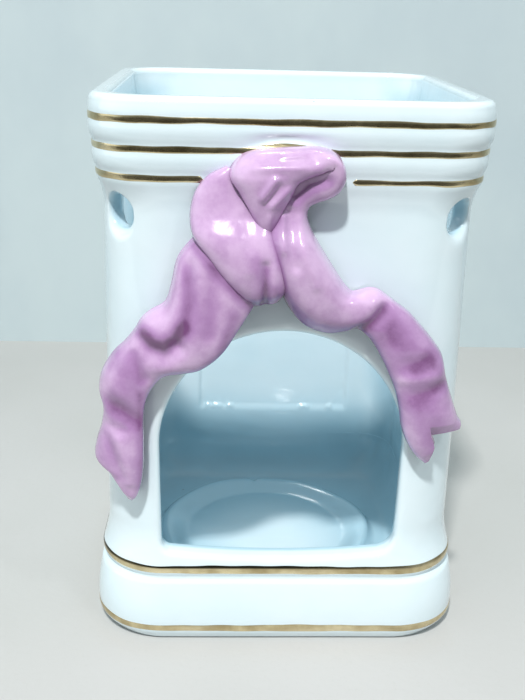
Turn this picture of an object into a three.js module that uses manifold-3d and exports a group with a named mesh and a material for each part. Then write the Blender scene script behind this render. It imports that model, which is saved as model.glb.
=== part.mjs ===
import * as THREE from "three";
import Module from "manifold-3d";

// Porcelain teapot warmer. A hollow rounded-square tower with a banded rim, a moulded foot, an
// arched front opening, corner vents, a candle dish on its floor and an applied ribbon bow.
// Millimetres, +Z up. The foot stands on Z = 0 and the front faces -Y. Shapes are worked out with
// the tower's axis at X = Y = 0, and the finished warmer is set with its overall box on the origin.

// Overall form
const HEIGHT = 128.5;
const WALL_HALF_WIDTH = 41.8;
const WALL_DRAW_IN = 0.5;
const WALL_CORNER_RADIUS = 14;
const WALL_THICKNESS = 4.2;
const SEAM = 0.3;

// Rim: bands, each standing out a little further than the one below, over a cove
const RIM_HEIGHT = 17.5;
const RIM_BANDS = 3;
const RIM_BAND_PITCH = 6.05;
const RIM_OVERHANG = 1.2;
const RIM_BAND_STEP = 0.65;
const RIM_BAND_BULGE = 0.35;
const RIM_CORNER_TIGHTER = 2;
const RIM_WALL = 4.6;
const LIP_ROUNDING = 1.4;
const LIP_DRAW_IN = 0.2;
const COVE_HEIGHT = 6.8;
const COVE_HOLLOW = 0.25;

// Gilding: fired-on lines, each in a shallow rebate
const LINE_HEIGHT = 1.4;
const LINE_THICKNESS = 0.5;
const LINE_PROUD = 0.12;
const LINE_CROWN = 0.1;

// Foot: under-curve, lower line, convex band, groove, upper line, flare into the wall
const FOOT_HEIGHT = 18;
const FOOT_OVERHANG = 3;
const FOOT_NECK_OVERHANG = 1.7;
const FOOT_TOE_INSET = 1.6;
const FOOT_TOE_BULGE = 0.35;
const FOOT_CORNER_WIDER = 2;
const FOOT_LINE_Z = 3;
const FOOT_GROOVE_WIDTH = 1.9;
const FOOT_GROOVE_DEPTH = 0.7;
const FOOT_BAND_BULGE = 0.45;
const FOOT_LEDGE = 3.3;
const FLARE_HEIGHT = 10.5;
const FLARE_HOLLOW = 0.45;

// Arched opening in the front wall: half round above, jambs drawing in, a sagging sill
const ARCH_CENTRE_X = -0.5;
const ARCH_RADIUS = 28.2;
const ARCH_HEIGHT = 56.1;
const ARCH_ABOVE_FOOT = 4;
const ARCH_SILL_SAG = 1.2;
const ARCH_CORNER_RADIUS = 3.4;
const ARCH_JAMB_DRAW = 0.4;
const ARCH_EDGE_ROUNDING = 1.5;
const ARCH_EDGE_LEAD = 0.1;

// Vents through the corners, each with its lower edge scooped out
const VENT_DIAMETER = 8;
const VENT_BELOW_COVE = 0.2;
const VENT_EASING = 0.5;
const VENT_SCOOP = 1.7;
const VENT_MOUTH_DEPTH = 1.7;

// Sunk panel inside the back wall
const PANEL_WIDTH = 44;
const PANEL_ABOVE_FOOT = 10.6;
const PANEL_BELOW_RIM = 12;
const PANEL_DEPTH = 1;
const PANEL_EDGE_SLOPE = 0.6;

// Floor and candle dish
const FLOOR_THICKNESS = 2.4;
const FLOOR_RECESS = 2.6;
const CANDLE_DIAMETER = 40;
const CANDLE_CLEARANCE = 1;
const DISH_CENTRE_X = -1.8;
const DISH_RISE = 0.3;
const DISH_SLOPE_WIDTH = 7.1;
const DISH_CREST_WIDTH = 1;
const DISH_RIDGE_HEIGHT = 2.4;
const DISH_SKIRT_WIDTH = 2.4;

// Ribbon bow: it spans the front, and its thicknesses stand off the wall
const BOW_SHORT_OF_WIDTH = 1.4;
const BOW_SPAN = 2 * WALL_HALF_WIDTH - BOW_SHORT_OF_WIDTH;
const RIBBON_EDGE_HEIGHT = 2.1;
const RIBBON_BACK_HEIGHT = 0.5;
const RIBBON_FULLNESS = 2.6;
const RIBBON_END_FULLNESS = 0.6;
const RIBBON_BACK_INSET = 0.06;
const RIBBON_DRAPE_RADIUS = 36;
const RIBBON_FLAT_BEYOND = 1.2;
const BAND_LIFT_UP = 1.2;
const BAND_LIFT_OUT = 1.2;
const BAND_LIFT_REACH = 4.2;

// Facets
const CORNER_STEPS = 8;
const FRONT_STEPS = 9;
const BAND_STEPS = 3;
const COVE_STEPS = 4;
const FOOT_BAND_STEPS = 6;
const LIP_STEPS = 3;
const ARCH_STEPS = 24;
const ARCH_CORNER_STEPS = 5;
const ARCH_SILL_STEPS = 8;
const EDGE_STEPS = 4;
const VENT_STEPS = 20;
const DISH_STEPS = 48;
const RIBBON_ACROSS = 11;
const RIBBON_BACK_STEPS = 3;
const RIBBON_STEP = 2.5;

const wasm = await Module();
wasm.setup();

// Solids from points: a closed skin of triangles, turned so that its faces point out
function solid(points, triangles) {
  let volume = 0;
  for (const [a, b, c] of triangles) {
    const [p, q, r] = [points[a], points[b], points[c]];
    volume += p[0] * (q[1] * r[2] - q[2] * r[1]) + p[1] * (q[2] * r[0] - q[0] * r[2])
      + p[2] * (q[0] * r[1] - q[1] * r[0]);
  }
  const faces = volume < 0 ? triangles.map(([a, b, c]) => [a, c, b]) : triangles;
  return new wasm.Manifold(new wasm.Mesh({
    numProp: 3,
    vertProperties: Float32Array.from(points.flat()),
    triVerts: Uint32Array.from(faces.flat()),
  }));
}

// A skin over rings of equal point counts, closed by a fan at each end
function loft(rings) {
  const count = rings[0].length;
  const points = rings.flat();
  const triangles = [];
  const skin = (lower, upper) => {
    for (let i = 0; i < count; i++) {
      const next = (i + 1) % count;
      triangles.push([lower + i, lower + next, upper + next], [lower + i, upper + next, upper + i]);
    }
  };
  for (let k = 0; k + 1 < rings.length; k++) skin(k * count, (k + 1) * count);
  for (const [ring, start, first] of [[rings[0], 0, true],
    [rings.at(-1), (rings.length - 1) * count, false]]) {
    const hub = points.length;
    points.push([0, 1, 2].map((axis) => ring.reduce((sum, p) => sum + p[axis], 0) / count));
    for (let i = 0; i < count; i++) {
      const next = (i + 1) % count;
      triangles.push(first ? [hub, start + next, start + i] : [hub, start + i, start + next]);
    }
  }
  return solid(points, triangles);
}

// A skin over rings where the last joins the first again, as round a gilded line
function closedLoft(rings) {
  const count = rings[0].length;
  const triangles = [];
  rings.forEach((ring, k) => {
    const lower = k * count;
    const upper = ((k + 1) % rings.length) * count;
    for (let i = 0; i < count; i++) {
      const next = (i + 1) % count;
      triangles.push([lower + i, lower + next, upper + next], [lower + i, upper + next, upper + i]);
    }
  });
  return solid(rings.flat(), triangles);
}

// The plan of the tower at one level, its front side in one step or more
function roundedSquare({ z, half, radius }, frontSteps = 1) {
  const inset = half - radius;
  const points = [];
  const signs = [[1, 1], [-1, 1], [-1, -1], [1, -1]];
  signs.forEach(([sx, sy], corner) => {
    for (let i = 0; i <= CORNER_STEPS; i++) {
      const angle = (corner + i / CORNER_STEPS) * Math.PI / 2;
      points.push([sx * inset + radius * Math.cos(angle), sy * inset + radius * Math.sin(angle), z]);
    }
    if (corner === 2) {
      for (let i = 1; i < frontSteps; i++) {
        points.push([inset * (2 * i / frontSteps - 1), -half, z]);
      }
    }
  });
  return points;
}

const level = (z, half, radius) => ({ z, half, radius });
const seat = (z, half, radius) => ({ z, half: half - REBATE, radius: radius - REBATE, seat: true });
const mix = (a, b, t) => a + (b - a) * t;

// Levels from one to another along a bowed line, as a moulding's side or a flare
function moulded(from, to, bulge, steps) {
  return Array.from({ length: steps + 1 }, (_, i) => {
    const t = i / steps;
    const swell = 4 * t * (1 - t) * bulge;
    return level(mix(from.z, to.z, t), mix(from.half, to.half, t) + swell, mix(from.radius, to.radius, t));
  });
}

// Levels that turn a lip over, drawing in or out from its first level to the top of the rim
function rounding({ half, radius }, side) {
  return Array.from({ length: LIP_STEPS + 1 }, (_, i) => {
    const turn = i / LIP_STEPS * Math.PI / 2;
    const out = side * LIP_ROUNDING * (1 - Math.cos(turn));
    return level(HEIGHT - LIP_ROUNDING * (1 - Math.sin(turn)), half + out, radius + out);
  });
}

// Levels of the outside, from the ground up
const WALL_HALF_WIDTH_HIGH = WALL_HALF_WIDTH - WALL_DRAW_IN;
const RIM_BASE_Z = HEIGHT - RIM_HEIGHT;
const WALL_TOP_Z = RIM_BASE_Z - COVE_HEIGHT;
const RIM_CORNER_RADIUS = WALL_CORNER_RADIUS - RIM_CORNER_TIGHTER;
const RIM_LINE_Z = Array.from({ length: RIM_BANDS }, (_, k) => RIM_BASE_Z + k * RIM_BAND_PITCH);
const rimHalf = (k) => WALL_HALF_WIDTH_HIGH + RIM_OVERHANG + k * RIM_BAND_STEP;
const FOOT_HALF_WIDTH = WALL_HALF_WIDTH + FOOT_OVERHANG;
const FOOT_NECK_HALF_WIDTH = WALL_HALF_WIDTH + FOOT_NECK_OVERHANG;
const FOOT_CORNER_RADIUS = WALL_CORNER_RADIUS + FOOT_CORNER_WIDER;
const REBATE = LINE_THICKNESS - LINE_PROUD + SEAM;

// A rebate for a gilded line, from its lower edge to its upper edge
function rebate(z, half, radius) {
  const [low, high] = [z - SEAM, z + LINE_HEIGHT + SEAM];
  return [level(low, half, radius), seat(low, half, radius), seat(high, half, radius),
    level(high, half, radius)];
}

// Each seam between two pieces lies behind a gilded line: the lower piece ends at one height and
// the upper one starts a seam above it
const FOOT_SEAM_Z = FOOT_HEIGHT + (LINE_HEIGHT - SEAM) / 2;
const RIM_SEAM_Z = RIM_LINE_Z[0] + (LINE_HEIGHT - SEAM) / 2;

const WALL_FLARE_Z = FOOT_HEIGHT + LINE_HEIGHT + SEAM;
const wallLow = level(WALL_FLARE_Z + FLARE_HEIGHT, WALL_HALF_WIDTH, WALL_CORNER_RADIUS);
const wallHigh = level(WALL_TOP_Z, WALL_HALF_WIDTH_HIGH, WALL_CORNER_RADIUS);

const footLevels = (() => {
  const toe = level(0, FOOT_HALF_WIDTH - FOOT_TOE_INSET, FOOT_CORNER_RADIUS);
  const lowerLine = rebate(FOOT_LINE_Z, FOOT_HALF_WIDTH, FOOT_CORNER_RADIUS);
  const neck = level(FOOT_HEIGHT - SEAM, FOOT_NECK_HALF_WIDTH, FOOT_CORNER_RADIUS);
  const groove = level(neck.z - FOOT_GROOVE_WIDTH, neck.half, neck.radius);
  return [
    ...moulded(toe, lowerLine[0], FOOT_TOE_BULGE, BAND_STEPS).slice(0, -1),
    ...lowerLine.slice(0, -1),
    ...moulded(lowerLine.at(-1), groove, FOOT_BAND_BULGE, FOOT_BAND_STEPS),
    ...moulded(groove, neck, -FOOT_GROOVE_DEPTH, COVE_STEPS).slice(1),
    seat(neck.z, neck.half, neck.radius),
    seat(FOOT_SEAM_Z, neck.half, neck.radius),
  ];
})();

const wallLevels = (() => {
  const neck = level(WALL_FLARE_Z, FOOT_NECK_HALF_WIDTH, FOOT_CORNER_RADIUS);
  const cove = level(RIM_LINE_Z[0] - SEAM, rimHalf(0), RIM_CORNER_RADIUS);
  return [
    seat(FOOT_SEAM_Z + SEAM, neck.half, neck.radius),
    seat(neck.z, neck.half, neck.radius),
    ...moulded(neck, wallLow, -FLARE_HOLLOW, FOOT_BAND_STEPS),
    ...moulded(wallHigh, cove, -COVE_HOLLOW, COVE_STEPS),
    seat(cove.z, cove.half, cove.radius),
    seat(RIM_SEAM_Z, cove.half, cove.radius),
  ];
})();

const collarLevels = (() => {
  const levels = [seat(RIM_SEAM_Z + SEAM, rimHalf(0), RIM_CORNER_RADIUS)];
  RIM_LINE_Z.forEach((z, k) => {
    const [, , seatTop, bandLow] = rebate(z, rimHalf(k), RIM_CORNER_RADIUS);
    levels.push(seatTop);
    if (k + 1 < RIM_BANDS) {
      const [bandHigh, seatLow] = rebate(RIM_LINE_Z[k + 1], rimHalf(k + 1), RIM_CORNER_RADIUS);
      levels.push(...moulded(bandLow, bandHigh, RIM_BAND_BULGE, BAND_STEPS), seatLow);
      return;
    }
    const shoulder = level(HEIGHT - LIP_ROUNDING, rimHalf(k) - LIP_DRAW_IN, RIM_CORNER_RADIUS);
    levels.push(bandLow, ...rounding(shoulder, -1));
  });
  return levels;
})();

// Places on the bow: across X and below the cove line, in hundredths of its span
const onBow = (hundredths) => BOW_SPAN * hundredths / 100;
const BOW_TOP = { x: onBow(-1.8), halfWidth: onBow(13.4) };
const BARE_COVE = { fromX: onBow(-22.1), toX: onBow(15.1) };

// The second band rides up a little over the top of the bow
function rideOverBow([x, y, z]) {
  const bell = (t) => (Math.abs(t) < 1 ? (1 - t * t) ** 2 : 0);
  const middle = RIM_LINE_Z[1] + LINE_HEIGHT / 2;
  const away = (x - BOW_TOP.x) / BOW_TOP.halfWidth;
  const lift = y < 0 ? bell(away) * bell((z - middle) / BAND_LIFT_REACH) : 0;
  return [x, y - BAND_LIFT_OUT * lift, z + BAND_LIFT_UP * lift];
}

const plain = (levels) => loft(levels.map((each) => roundedSquare(each)));
const shell = (levels) => loft(levels.map((each) => roundedSquare(each, FRONT_STEPS).map(rideOverBow)));

// Foot ring: hollow, with a ledge that carries the floor
const innerHalf = (half) => half - WALL_THICKNESS;
const BORE_RADIUS = WALL_CORNER_RADIUS - WALL_THICKNESS;
const BORE_HALF_LOW = innerHalf(WALL_HALF_WIDTH);
const BORE_HALF_HIGH = innerHalf(WALL_HALF_WIDTH_HIGH);
const BEYOND = 5;

function footRing() {
  const ledgeHalf = BORE_HALF_LOW - FOOT_LEDGE;
  const ledge = plain([level(-BEYOND, ledgeHalf, BORE_RADIUS),
    level(FLOOR_RECESS, ledgeHalf, BORE_RADIUS)]);
  const bore = plain([level(FLOOR_RECESS, BORE_HALF_LOW, BORE_RADIUS),
    level(FOOT_SEAM_Z + BEYOND, BORE_HALF_LOW, BORE_RADIUS)]);
  return plain(footLevels).subtract(ledge).subtract(bore);
}

// Floor plate with the candle dish turned on it: a flat for the candle inside a raised ridge
function floorDish() {
  const under = FLOOR_RECESS + SEAM;
  const top = under + FLOOR_THICKNESS;
  const half = BORE_HALF_LOW - SEAM;
  const plate = plain([level(under, half, BORE_RADIUS - SEAM),
    level(top, half, BORE_RADIUS - SEAM)]);
  const flat = { radius: CANDLE_DIAMETER / 2 + CANDLE_CLEARANCE, z: top + DISH_RISE };
  const ridge = { radius: flat.radius + DISH_SLOPE_WIDTH, z: top + DISH_RIDGE_HEIGHT };
  const slope = Array.from({ length: EDGE_STEPS + 1 }, (_, i) => {
    const t = i / EDGE_STEPS;
    return [mix(flat.radius, ridge.radius, t), mix(flat.z, ridge.z, 3 * t ** 2 - 2 * t ** 3)];
  });
  const skirt = Array.from({ length: EDGE_STEPS + 1 }, (_, i) => {
    const t = i / EDGE_STEPS;
    return [ridge.radius + DISH_CREST_WIDTH + t * DISH_SKIRT_WIDTH, mix(ridge.z, top, 1 - (1 - t) ** 2)];
  });
  const rings = [...slope, ...skirt, [skirt.at(-1)[0], under + FLOOR_THICKNESS / 2]];
  return plate.add(loft(rings.map(([radius, z]) => Array.from({ length: DISH_STEPS }, (_, i) => {
    const angle = i / DISH_STEPS * 2 * Math.PI;
    return [DISH_CENTRE_X + radius * Math.cos(angle), radius * Math.sin(angle), z];
  }))));
}

// A block across the front at the cove line, shortened at each end
function coveBlock(shorter) {
  const [low, high] = [WALL_TOP_Z, RIM_LINE_Z[0] + LINE_HEIGHT + SEAM];
  const [left, right] = [BARE_COVE.fromX + shorter, BARE_COVE.toX - shorter];
  const [front, back] = [-2 * WALL_HALF_WIDTH, -WALL_HALF_WIDTH / 2];
  return loft([low, high].map((z) => [[left, front, z], [right, front, z], [right, back, z],
    [left, back, z]]));
}

// Behind the bow the cove has no line and no rebate: the porcelain is whole there
const withBareStretch = (skin, levels, build) => skin.add(build(levels.map((each) => (each.seat
  ? level(each.z, each.half + REBATE, each.radius + REBATE) : each))).intersect(coveBlock(SEAM)));

// Tower wall: shell, bore, arch, vents and the sunk panel
function towerWall() {
  const bore = plain([level(FOOT_SEAM_Z - BEYOND, BORE_HALF_LOW, BORE_RADIUS),
    level(wallLow.z, BORE_HALF_LOW, BORE_RADIUS), level(WALL_TOP_Z, BORE_HALF_HIGH, BORE_RADIUS),
    level(RIM_SEAM_Z + BEYOND, BORE_HALF_HIGH, BORE_RADIUS)]);
  let wall = withBareStretch(plain(wallLevels), wallLevels, plain).subtract(bore).subtract(archCutter());
  for (let corner = 0; corner < 4; corner++) wall = wall.subtract(ventCutter(corner));
  return wall.subtract(panelCutter());
}

// The arch in elevation, grown evenly, a little way in from the front face
const ARCH_SILL_Z = FOOT_HEIGHT + ARCH_ABOVE_FOOT;

function archOutline(grow, inset) {
  const radius = ARCH_RADIUS + grow;
  const springing = ARCH_SILL_Z + ARCH_HEIGHT - ARCH_RADIUS;
  const foot = radius - ARCH_JAMB_DRAW;
  const corner = ARCH_CORNER_RADIUS + grow;
  const cornerZ = ARCH_SILL_Z + ARCH_SILL_SAG - grow + corner;
  const points = [];
  const put = (across, z) => points.push([ARCH_CENTRE_X + across, inset - WALL_HALF_WIDTH, z]);
  for (let i = 0; i <= ARCH_STEPS; i++) {
    const angle = i / ARCH_STEPS * Math.PI;
    put(radius * Math.cos(angle), springing + radius * Math.sin(angle));
  }
  const turn = (side, i) => {
    const angle = i / ARCH_CORNER_STEPS * Math.PI / 2;
    put(side * (foot - corner + corner * Math.cos(angle)), cornerZ - corner * Math.sin(angle));
  };
  for (let i = 0; i <= ARCH_CORNER_STEPS; i++) turn(-1, i);
  for (let i = 1; i < ARCH_SILL_STEPS; i++) {
    const t = i / ARCH_SILL_STEPS;
    put(mix(corner - foot, foot - corner, t), cornerZ - corner - ARCH_SILL_SAG * 4 * t * (1 - t));
  }
  for (let i = ARCH_CORNER_STEPS; i >= 0; i--) turn(1, i);
  return points;
}

function archCutter() {
  const rings = [archOutline(ARCH_EDGE_ROUNDING, -BEYOND)];
  for (let i = 0; i <= EDGE_STEPS; i++) {
    const turn = i / EDGE_STEPS * Math.PI / 2;
    rings.push(archOutline(ARCH_EDGE_ROUNDING * (1 - Math.sin(turn)),
      ARCH_EDGE_ROUNDING * (1 - Math.cos(turn)) - ARCH_EDGE_LEAD));
  }
  rings.push(archOutline(0, WALL_THICKNESS + BEYOND));
  return loft(rings);
}

// A round vent bored level through one corner, its lower edge scooped out like a thumb print
function ventCutter(corner) {
  const z = WALL_TOP_Z - VENT_BELOW_COVE;
  const skin = Math.SQRT2 * (WALL_HALF_WIDTH_HIGH - WALL_CORNER_RADIUS) + WALL_CORNER_RADIUS;
  const bore = VENT_DIAMETER / 2;
  const [cx, cy] = [Math.cos, Math.sin].map((f) => f(Math.PI / 4 + corner * Math.PI / 2));
  const mouth = (grow, scoop, reach) => Array.from({ length: VENT_STEPS }, (_, i) => {
    const angle = i / VENT_STEPS * 2 * Math.PI;
    const across = (bore + grow) * Math.cos(angle);
    const up = (bore + grow) * Math.sin(angle);
    const drop = up < 0 ? up * scoop / bore : 0;
    return [reach * cx - across * cy, reach * cy + across * cx, z + up + drop];
  });
  const throat = skin - VENT_MOUTH_DEPTH;
  return loft([mouth(0, 0, skin - WALL_THICKNESS - BEYOND), mouth(0, 0, throat - VENT_MOUTH_DEPTH),
    mouth(0, VENT_SCOOP / 3, throat), mouth(VENT_EASING, VENT_SCOOP, skin),
    mouth(2 * VENT_EASING, 3 * VENT_SCOOP, skin + BEYOND)]);
}

// The sunk panel: a shallow recess whose edges slope back
function panelCutter() {
  const [low, high] = [FOOT_HEIGHT + PANEL_ABOVE_FOOT, RIM_BASE_Z - PANEL_BELOW_RIM];
  const frame = (grow, y) => [[-1, -1], [1, -1], [1, 1], [-1, 1]].map(([sx, sz]) => [
    sx * (PANEL_WIDTH / 2 + grow), y, sz < 0 ? low - grow : high + grow]);
  return loft([frame(PANEL_EDGE_SLOPE, BORE_HALF_HIGH - BEYOND), frame(PANEL_EDGE_SLOPE, BORE_HALF_HIGH),
    frame(0, BORE_HALF_LOW + PANEL_DEPTH)]);
}

// Rim collar: banded outside, a plain bore that opens slightly to a rounded lip
function rimCollar() {
  const lip = rounding({ half: rimHalf(RIM_BANDS - 1) - RIM_WALL, radius: BORE_RADIUS }, 1);
  const bore = plain([level(RIM_SEAM_Z - BEYOND, BORE_HALF_HIGH, BORE_RADIUS),
    level(RIM_SEAM_Z + SEAM, BORE_HALF_HIGH, BORE_RADIUS),
    ...lip, level(HEIGHT + BEYOND, lip.at(-1).half, lip.at(-1).radius)]);
  return withBareStretch(shell(collarLevels), collarLevels, shell).subtract(bore);
}

// A gilded line: a thin crowned band that lies in its rebate
function giltLine(z, half, radius) {
  const [inner, outer] = [LINE_PROUD - LINE_THICKNESS, LINE_PROUD];
  const section = [[inner, 0], [inner, LINE_HEIGHT], [outer, LINE_HEIGHT],
    [outer + LINE_CROWN, LINE_HEIGHT / 2], [outer, 0]];
  return closedLoft(section.map(([out, up]) => roundedSquare(level(z + up, half + out, radius + out),
    z === RIM_LINE_Z[1] ? FRONT_STEPS : 1).map(rideOverBow)));
}

const rimLine = (k) => giltLine(RIM_LINE_Z[k], rimHalf(k), RIM_CORNER_RADIUS);

// Ribbon: crowned strips that run through stations. Each station is the strip's two edges, as X
// and depth below the cove line, and the height of its crown off the wall. A fold runs between two
// places with its height and width. All are in hundredths of the bow's span.
const place = (x, below) => [onBow(x), RIM_BASE_Z - onBow(below)];
const station = (ax, ad, bx, bd, crown) => ({ a: place(ax, ad), b: place(bx, bd), crown: onBow(crown) });
const fold = (ax, ad, bx, bd, height, width) => (
  { from: place(ax, ad), to: place(bx, bd), height: onBow(height), width: onBow(width) });

const RIBBON = {
  knot: {
    stations: [station(-17.3, -3.9, -14.6, -3.6, 6.1), station(-21.3, -1.5, -13.1, -0.5, 9),
      station(-24.3, 2.7, -10.9, 3.6, 10.7), station(-26, 7.8, -8, 7.8, 11.7),
      station(-25.1, 12.9, -5.1, 12.4, 11.8), station(-21.7, 18, -3.4, 17, 11.2),
      station(-17.8, 23.4, -1.9, 22.4, 10), station(-14.4, 27.9, -1.5, 26.3, 8.8),
      station(-11.2, 31.1, -2.7, 29.9, 6.1)],
    folds: [fold(-6.6, 19.5, -6.6, 30.4, -1.9, 1.3), fold(-4.4, 19.5, -1.9, 29.2, -1.5, 1.2),
      fold(-10, 21.3, -10, 29.2, -0.9, 1.7), fold(-12.8, 4.3, -10.7, 18.9, -0.9, 2.9)],
  },
  loop: {
    stations: [station(-6.6, 10.2, -4.9, 10.7, 7.5), station(-10, 5.8, -2.9, 5.8, 10),
      station(-12.9, 1.5, -1.5, 2.2, 11.2), station(-15.5, -3.4, 0.5, -1.5, 11.2),
      station(-14.1, -6.6, 2.7, -2.7, 10.7), station(-10.2, -8.8, 4.6, -3.5, 10.5),
      station(-3.6, -9.7, 6.6, -4, 10.5), station(4.4, -10, 8, -4.4, 10),
      station(9.2, -8.3, 9.4, -4.1, 9), station(11.6, -4.6, 9.9, -3.2, 7.8),
      station(12, -2.2, 10.5, -1.7, 6.3)],
    folds: [fold(-6.1, -1, -9.7, 3.2, 0.6, 1.5), fold(-3.2, 1.7, -6.8, 4.9, 0.6, 1.5),
      fold(-11.7, -6.6, 2.4, -7.1, -0.7, 1.2)],
  },
  loopReturn: {
    stations: [station(8.5, -4.9, 11.6, -3.9, 7.3), station(6.6, -3.8, 12, -0.7, 8.8),
      station(4.1, -2.8, 10.8, 1.9, 8.5), station(1.7, -1.7, 7.7, 3.4, 8),
      station(-0.2, 0.2, 4.4, 4.9, 7.8), station(-2.2, 3.6, 2.4, 6.3, 7.5)],
    folds: [fold(7.5, -2.3, 0.7, 1, -2.4, 1.6)],
  },
  rightStrip: {
    stations: [station(-0.2, -0.5, 2.4, 2.7, 6.1), station(-2.4, 4.1, 2.9, 5.8, 8.3),
      station(-5.8, 10.5, 5.1, 10.9, 9.7), station(-4.5, 14.6, 7.5, 15.7, 10.2),
      station(-4.1, 19.1, 10.2, 19.9, 10.2), station(-3.2, 23.5, 12.5, 23.3, 10),
      station(-1.8, 28, 14.4, 25.9, 9.7), station(0.4, 32.6, 16.3, 27.4, 9.2),
      station(4.2, 36.6, 18.4, 27.1, 8.8), station(9.6, 38.6, 20.7, 27, 8.3),
      station(15.3, 37.6, 23.1, 27.5, 8), station(19.7, 36.1, 25, 28.7, 7.3),
      station(22.7, 34.2, 25.5, 30.2, 6.1)],
    folds: [fold(1.6, 9.1, 10, 26, 0.6, 2.4), fold(2.6, 33.7, 18.7, 32.9, -0.9, 2.2)],
  },
  rightTail: {
    stations: [station(17.1, 37, 21, 28.2, 5.6), station(18.2, 37.5, 23.9, 28.3, 6.6),
      station(20, 40, 27.1, 29.5, 7.1), station(21.9, 42.8, 30.4, 32, 7.3),
      station(24.6, 47.2, 33.8, 35.5, 7.5), station(27.4, 51.2, 37.3, 39.5, 7.5),
      station(29.8, 55.8, 41.1, 44.2, 7.3), station(31.2, 60.4, 43.1, 50.4, 7.5),
      station(32.4, 65.4, 45, 57, 7.3), station(33.8, 70.2, 46.8, 62, 6.8),
      station(36.3, 74.1, 47.7, 65, 6.3), station(38.4, 76.2, 48.4, 67.3, 5.6)],
    folds: [fold(25.3, 31, 25.4, 39.4, -1.2, 2.1), fold(28.8, 49.8, 40.8, 45.9, -1, 1.8),
      fold(29.9, 54, 43.4, 51.3, -0.7, 1.7), fold(37.2, 40.6, 40.5, 48.2, 0.6, 1.9)],
    freeEnd: true,
    notch: [place(39.3, 77.9), place(39.9, 71.8), place(40.5, 67.9), place(42.3, 65.9),
      place(51.1, 65.7), place(51.1, 77.9)],
  },
  leftRoll: {
    stations: [station(-28.5, 19.2, -25.5, 21.8, 7.8), station(-29.6, 22.4, -26, 25, 9.7),
      station(-30.2, 25.6, -26.4, 28.4, 10.7), station(-30.7, 28.5, -26.8, 32.2, 11.2),
      station(-31.6, 30.9, -27.4, 36, 11.4), station(-33.1, 32.8, -28.4, 39.6, 11.4),
      station(-34.9, 33.7, -30.7, 41.8, 10.9), station(-36.9, 34.1, -33.7, 42, 10.5),
      station(-38.6, 35.4, -36.5, 40.7, 9.5), station(-39.4, 37, -38.3, 39.2, 7.5)],
    folds: [],
  },
  leftStrip: {
    stations: [station(-22.1, 11.4, -9, 29, 7.3), station(-25.5, 14.2, -11.6, 31.1, 8.8),
      station(-29.2, 19.2, -14.4, 37, 9.5), station(-30.9, 26.2, -17.6, 44.2, 9.2),
      station(-32.6, 32.1, -22.9, 48.7, 8.6), station(-35.3, 33.8, -28.5, 50, 8.2),
      station(-38.7, 34.8, -34.1, 50.6, 7.5)],
    folds: [fold(-37.4, 41.2, -28.6, 43.8, -1.9, 2.1), fold(-25.4, 29.2, -26, 42, -1.2, 1.8),
      fold(-19.6, 23.8, -17.6, 40, 0.6, 2.4)],
  },
  leftTail: {
    stations: [station(-38.3, 34.5, -33.2, 50.5, 7.5), station(-41.6, 40.1, -35.3, 53.5, 8),
      station(-46, 45.7, -37, 57.7, 7.8), station(-49.6, 51.1, -38.3, 61.8, 7.5),
      station(-51, 56.4, -38.8, 65.7, 7.3), station(-50, 61.3, -38.8, 69.7, 7.3),
      station(-51, 66.9, -38.8, 74.2, 7.3), station(-51.9, 73, -38.8, 78.6, 7.1),
      station(-51.1, 77.1, -39.2, 82.2, 6.6), station(-47, 80.8, -39.8, 85.4, 6.1),
      station(-43.8, 87.1, -41.4, 88.1, 4.9)],
    folds: [fold(-45.7, 58.4, -44.3, 62.5, -1.5, 1.6), fold(-39.7, 64.5, -40.4, 80.3, 1, 1.7),
      fold(-44.8, 63.3, -43.8, 80.9, -1, 2.1), fold(-44.8, 49.3, -42.3, 55.4, -0.9, 1.9)],
    freeEnd: true,
  },
};

// A smooth run of values through the stations
function through(values, t) {
  const at = (i) => values[Math.max(0, Math.min(values.length - 1, i))];
  const k = Math.min(values.length - 2, Math.floor(t));
  const s = t - k;
  const [p, q, r, w] = [at(k - 1), at(k), at(k + 1), at(k + 2)];
  return q + s / 2 * (r - p + s * (2 * p - 5 * q + 4 * r - w + s * (3 * (q - r) + w - p)));
}

function foldHeight(folds, x, z) {
  return folds.reduce((sum, { from, to, height, width }) => {
    const [dx, dz] = [to[0] - from[0], to[1] - from[1]];
    const along = ((x - from[0]) * dx + (z - from[1]) * dz) / (dx * dx + dz * dz);
    const s = Math.max(0, Math.min(1, along));
    const away = Math.hypot(x - from[0] - s * dx, z - from[1] - s * dz);
    return sum + height * Math.exp(-((away / width) ** 2));
  }, 0);
}

// Towards the corners the ribbon eases back with the wall
const RIBBON_FLAT_X = WALL_HALF_WIDTH - WALL_CORNER_RADIUS + RIBBON_FLAT_BEYOND;
const drape = (x) => Math.max(0, Math.abs(x) - RIBBON_FLAT_X) ** 2 / (2 * RIBBON_DRAPE_RADIUS);

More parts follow.
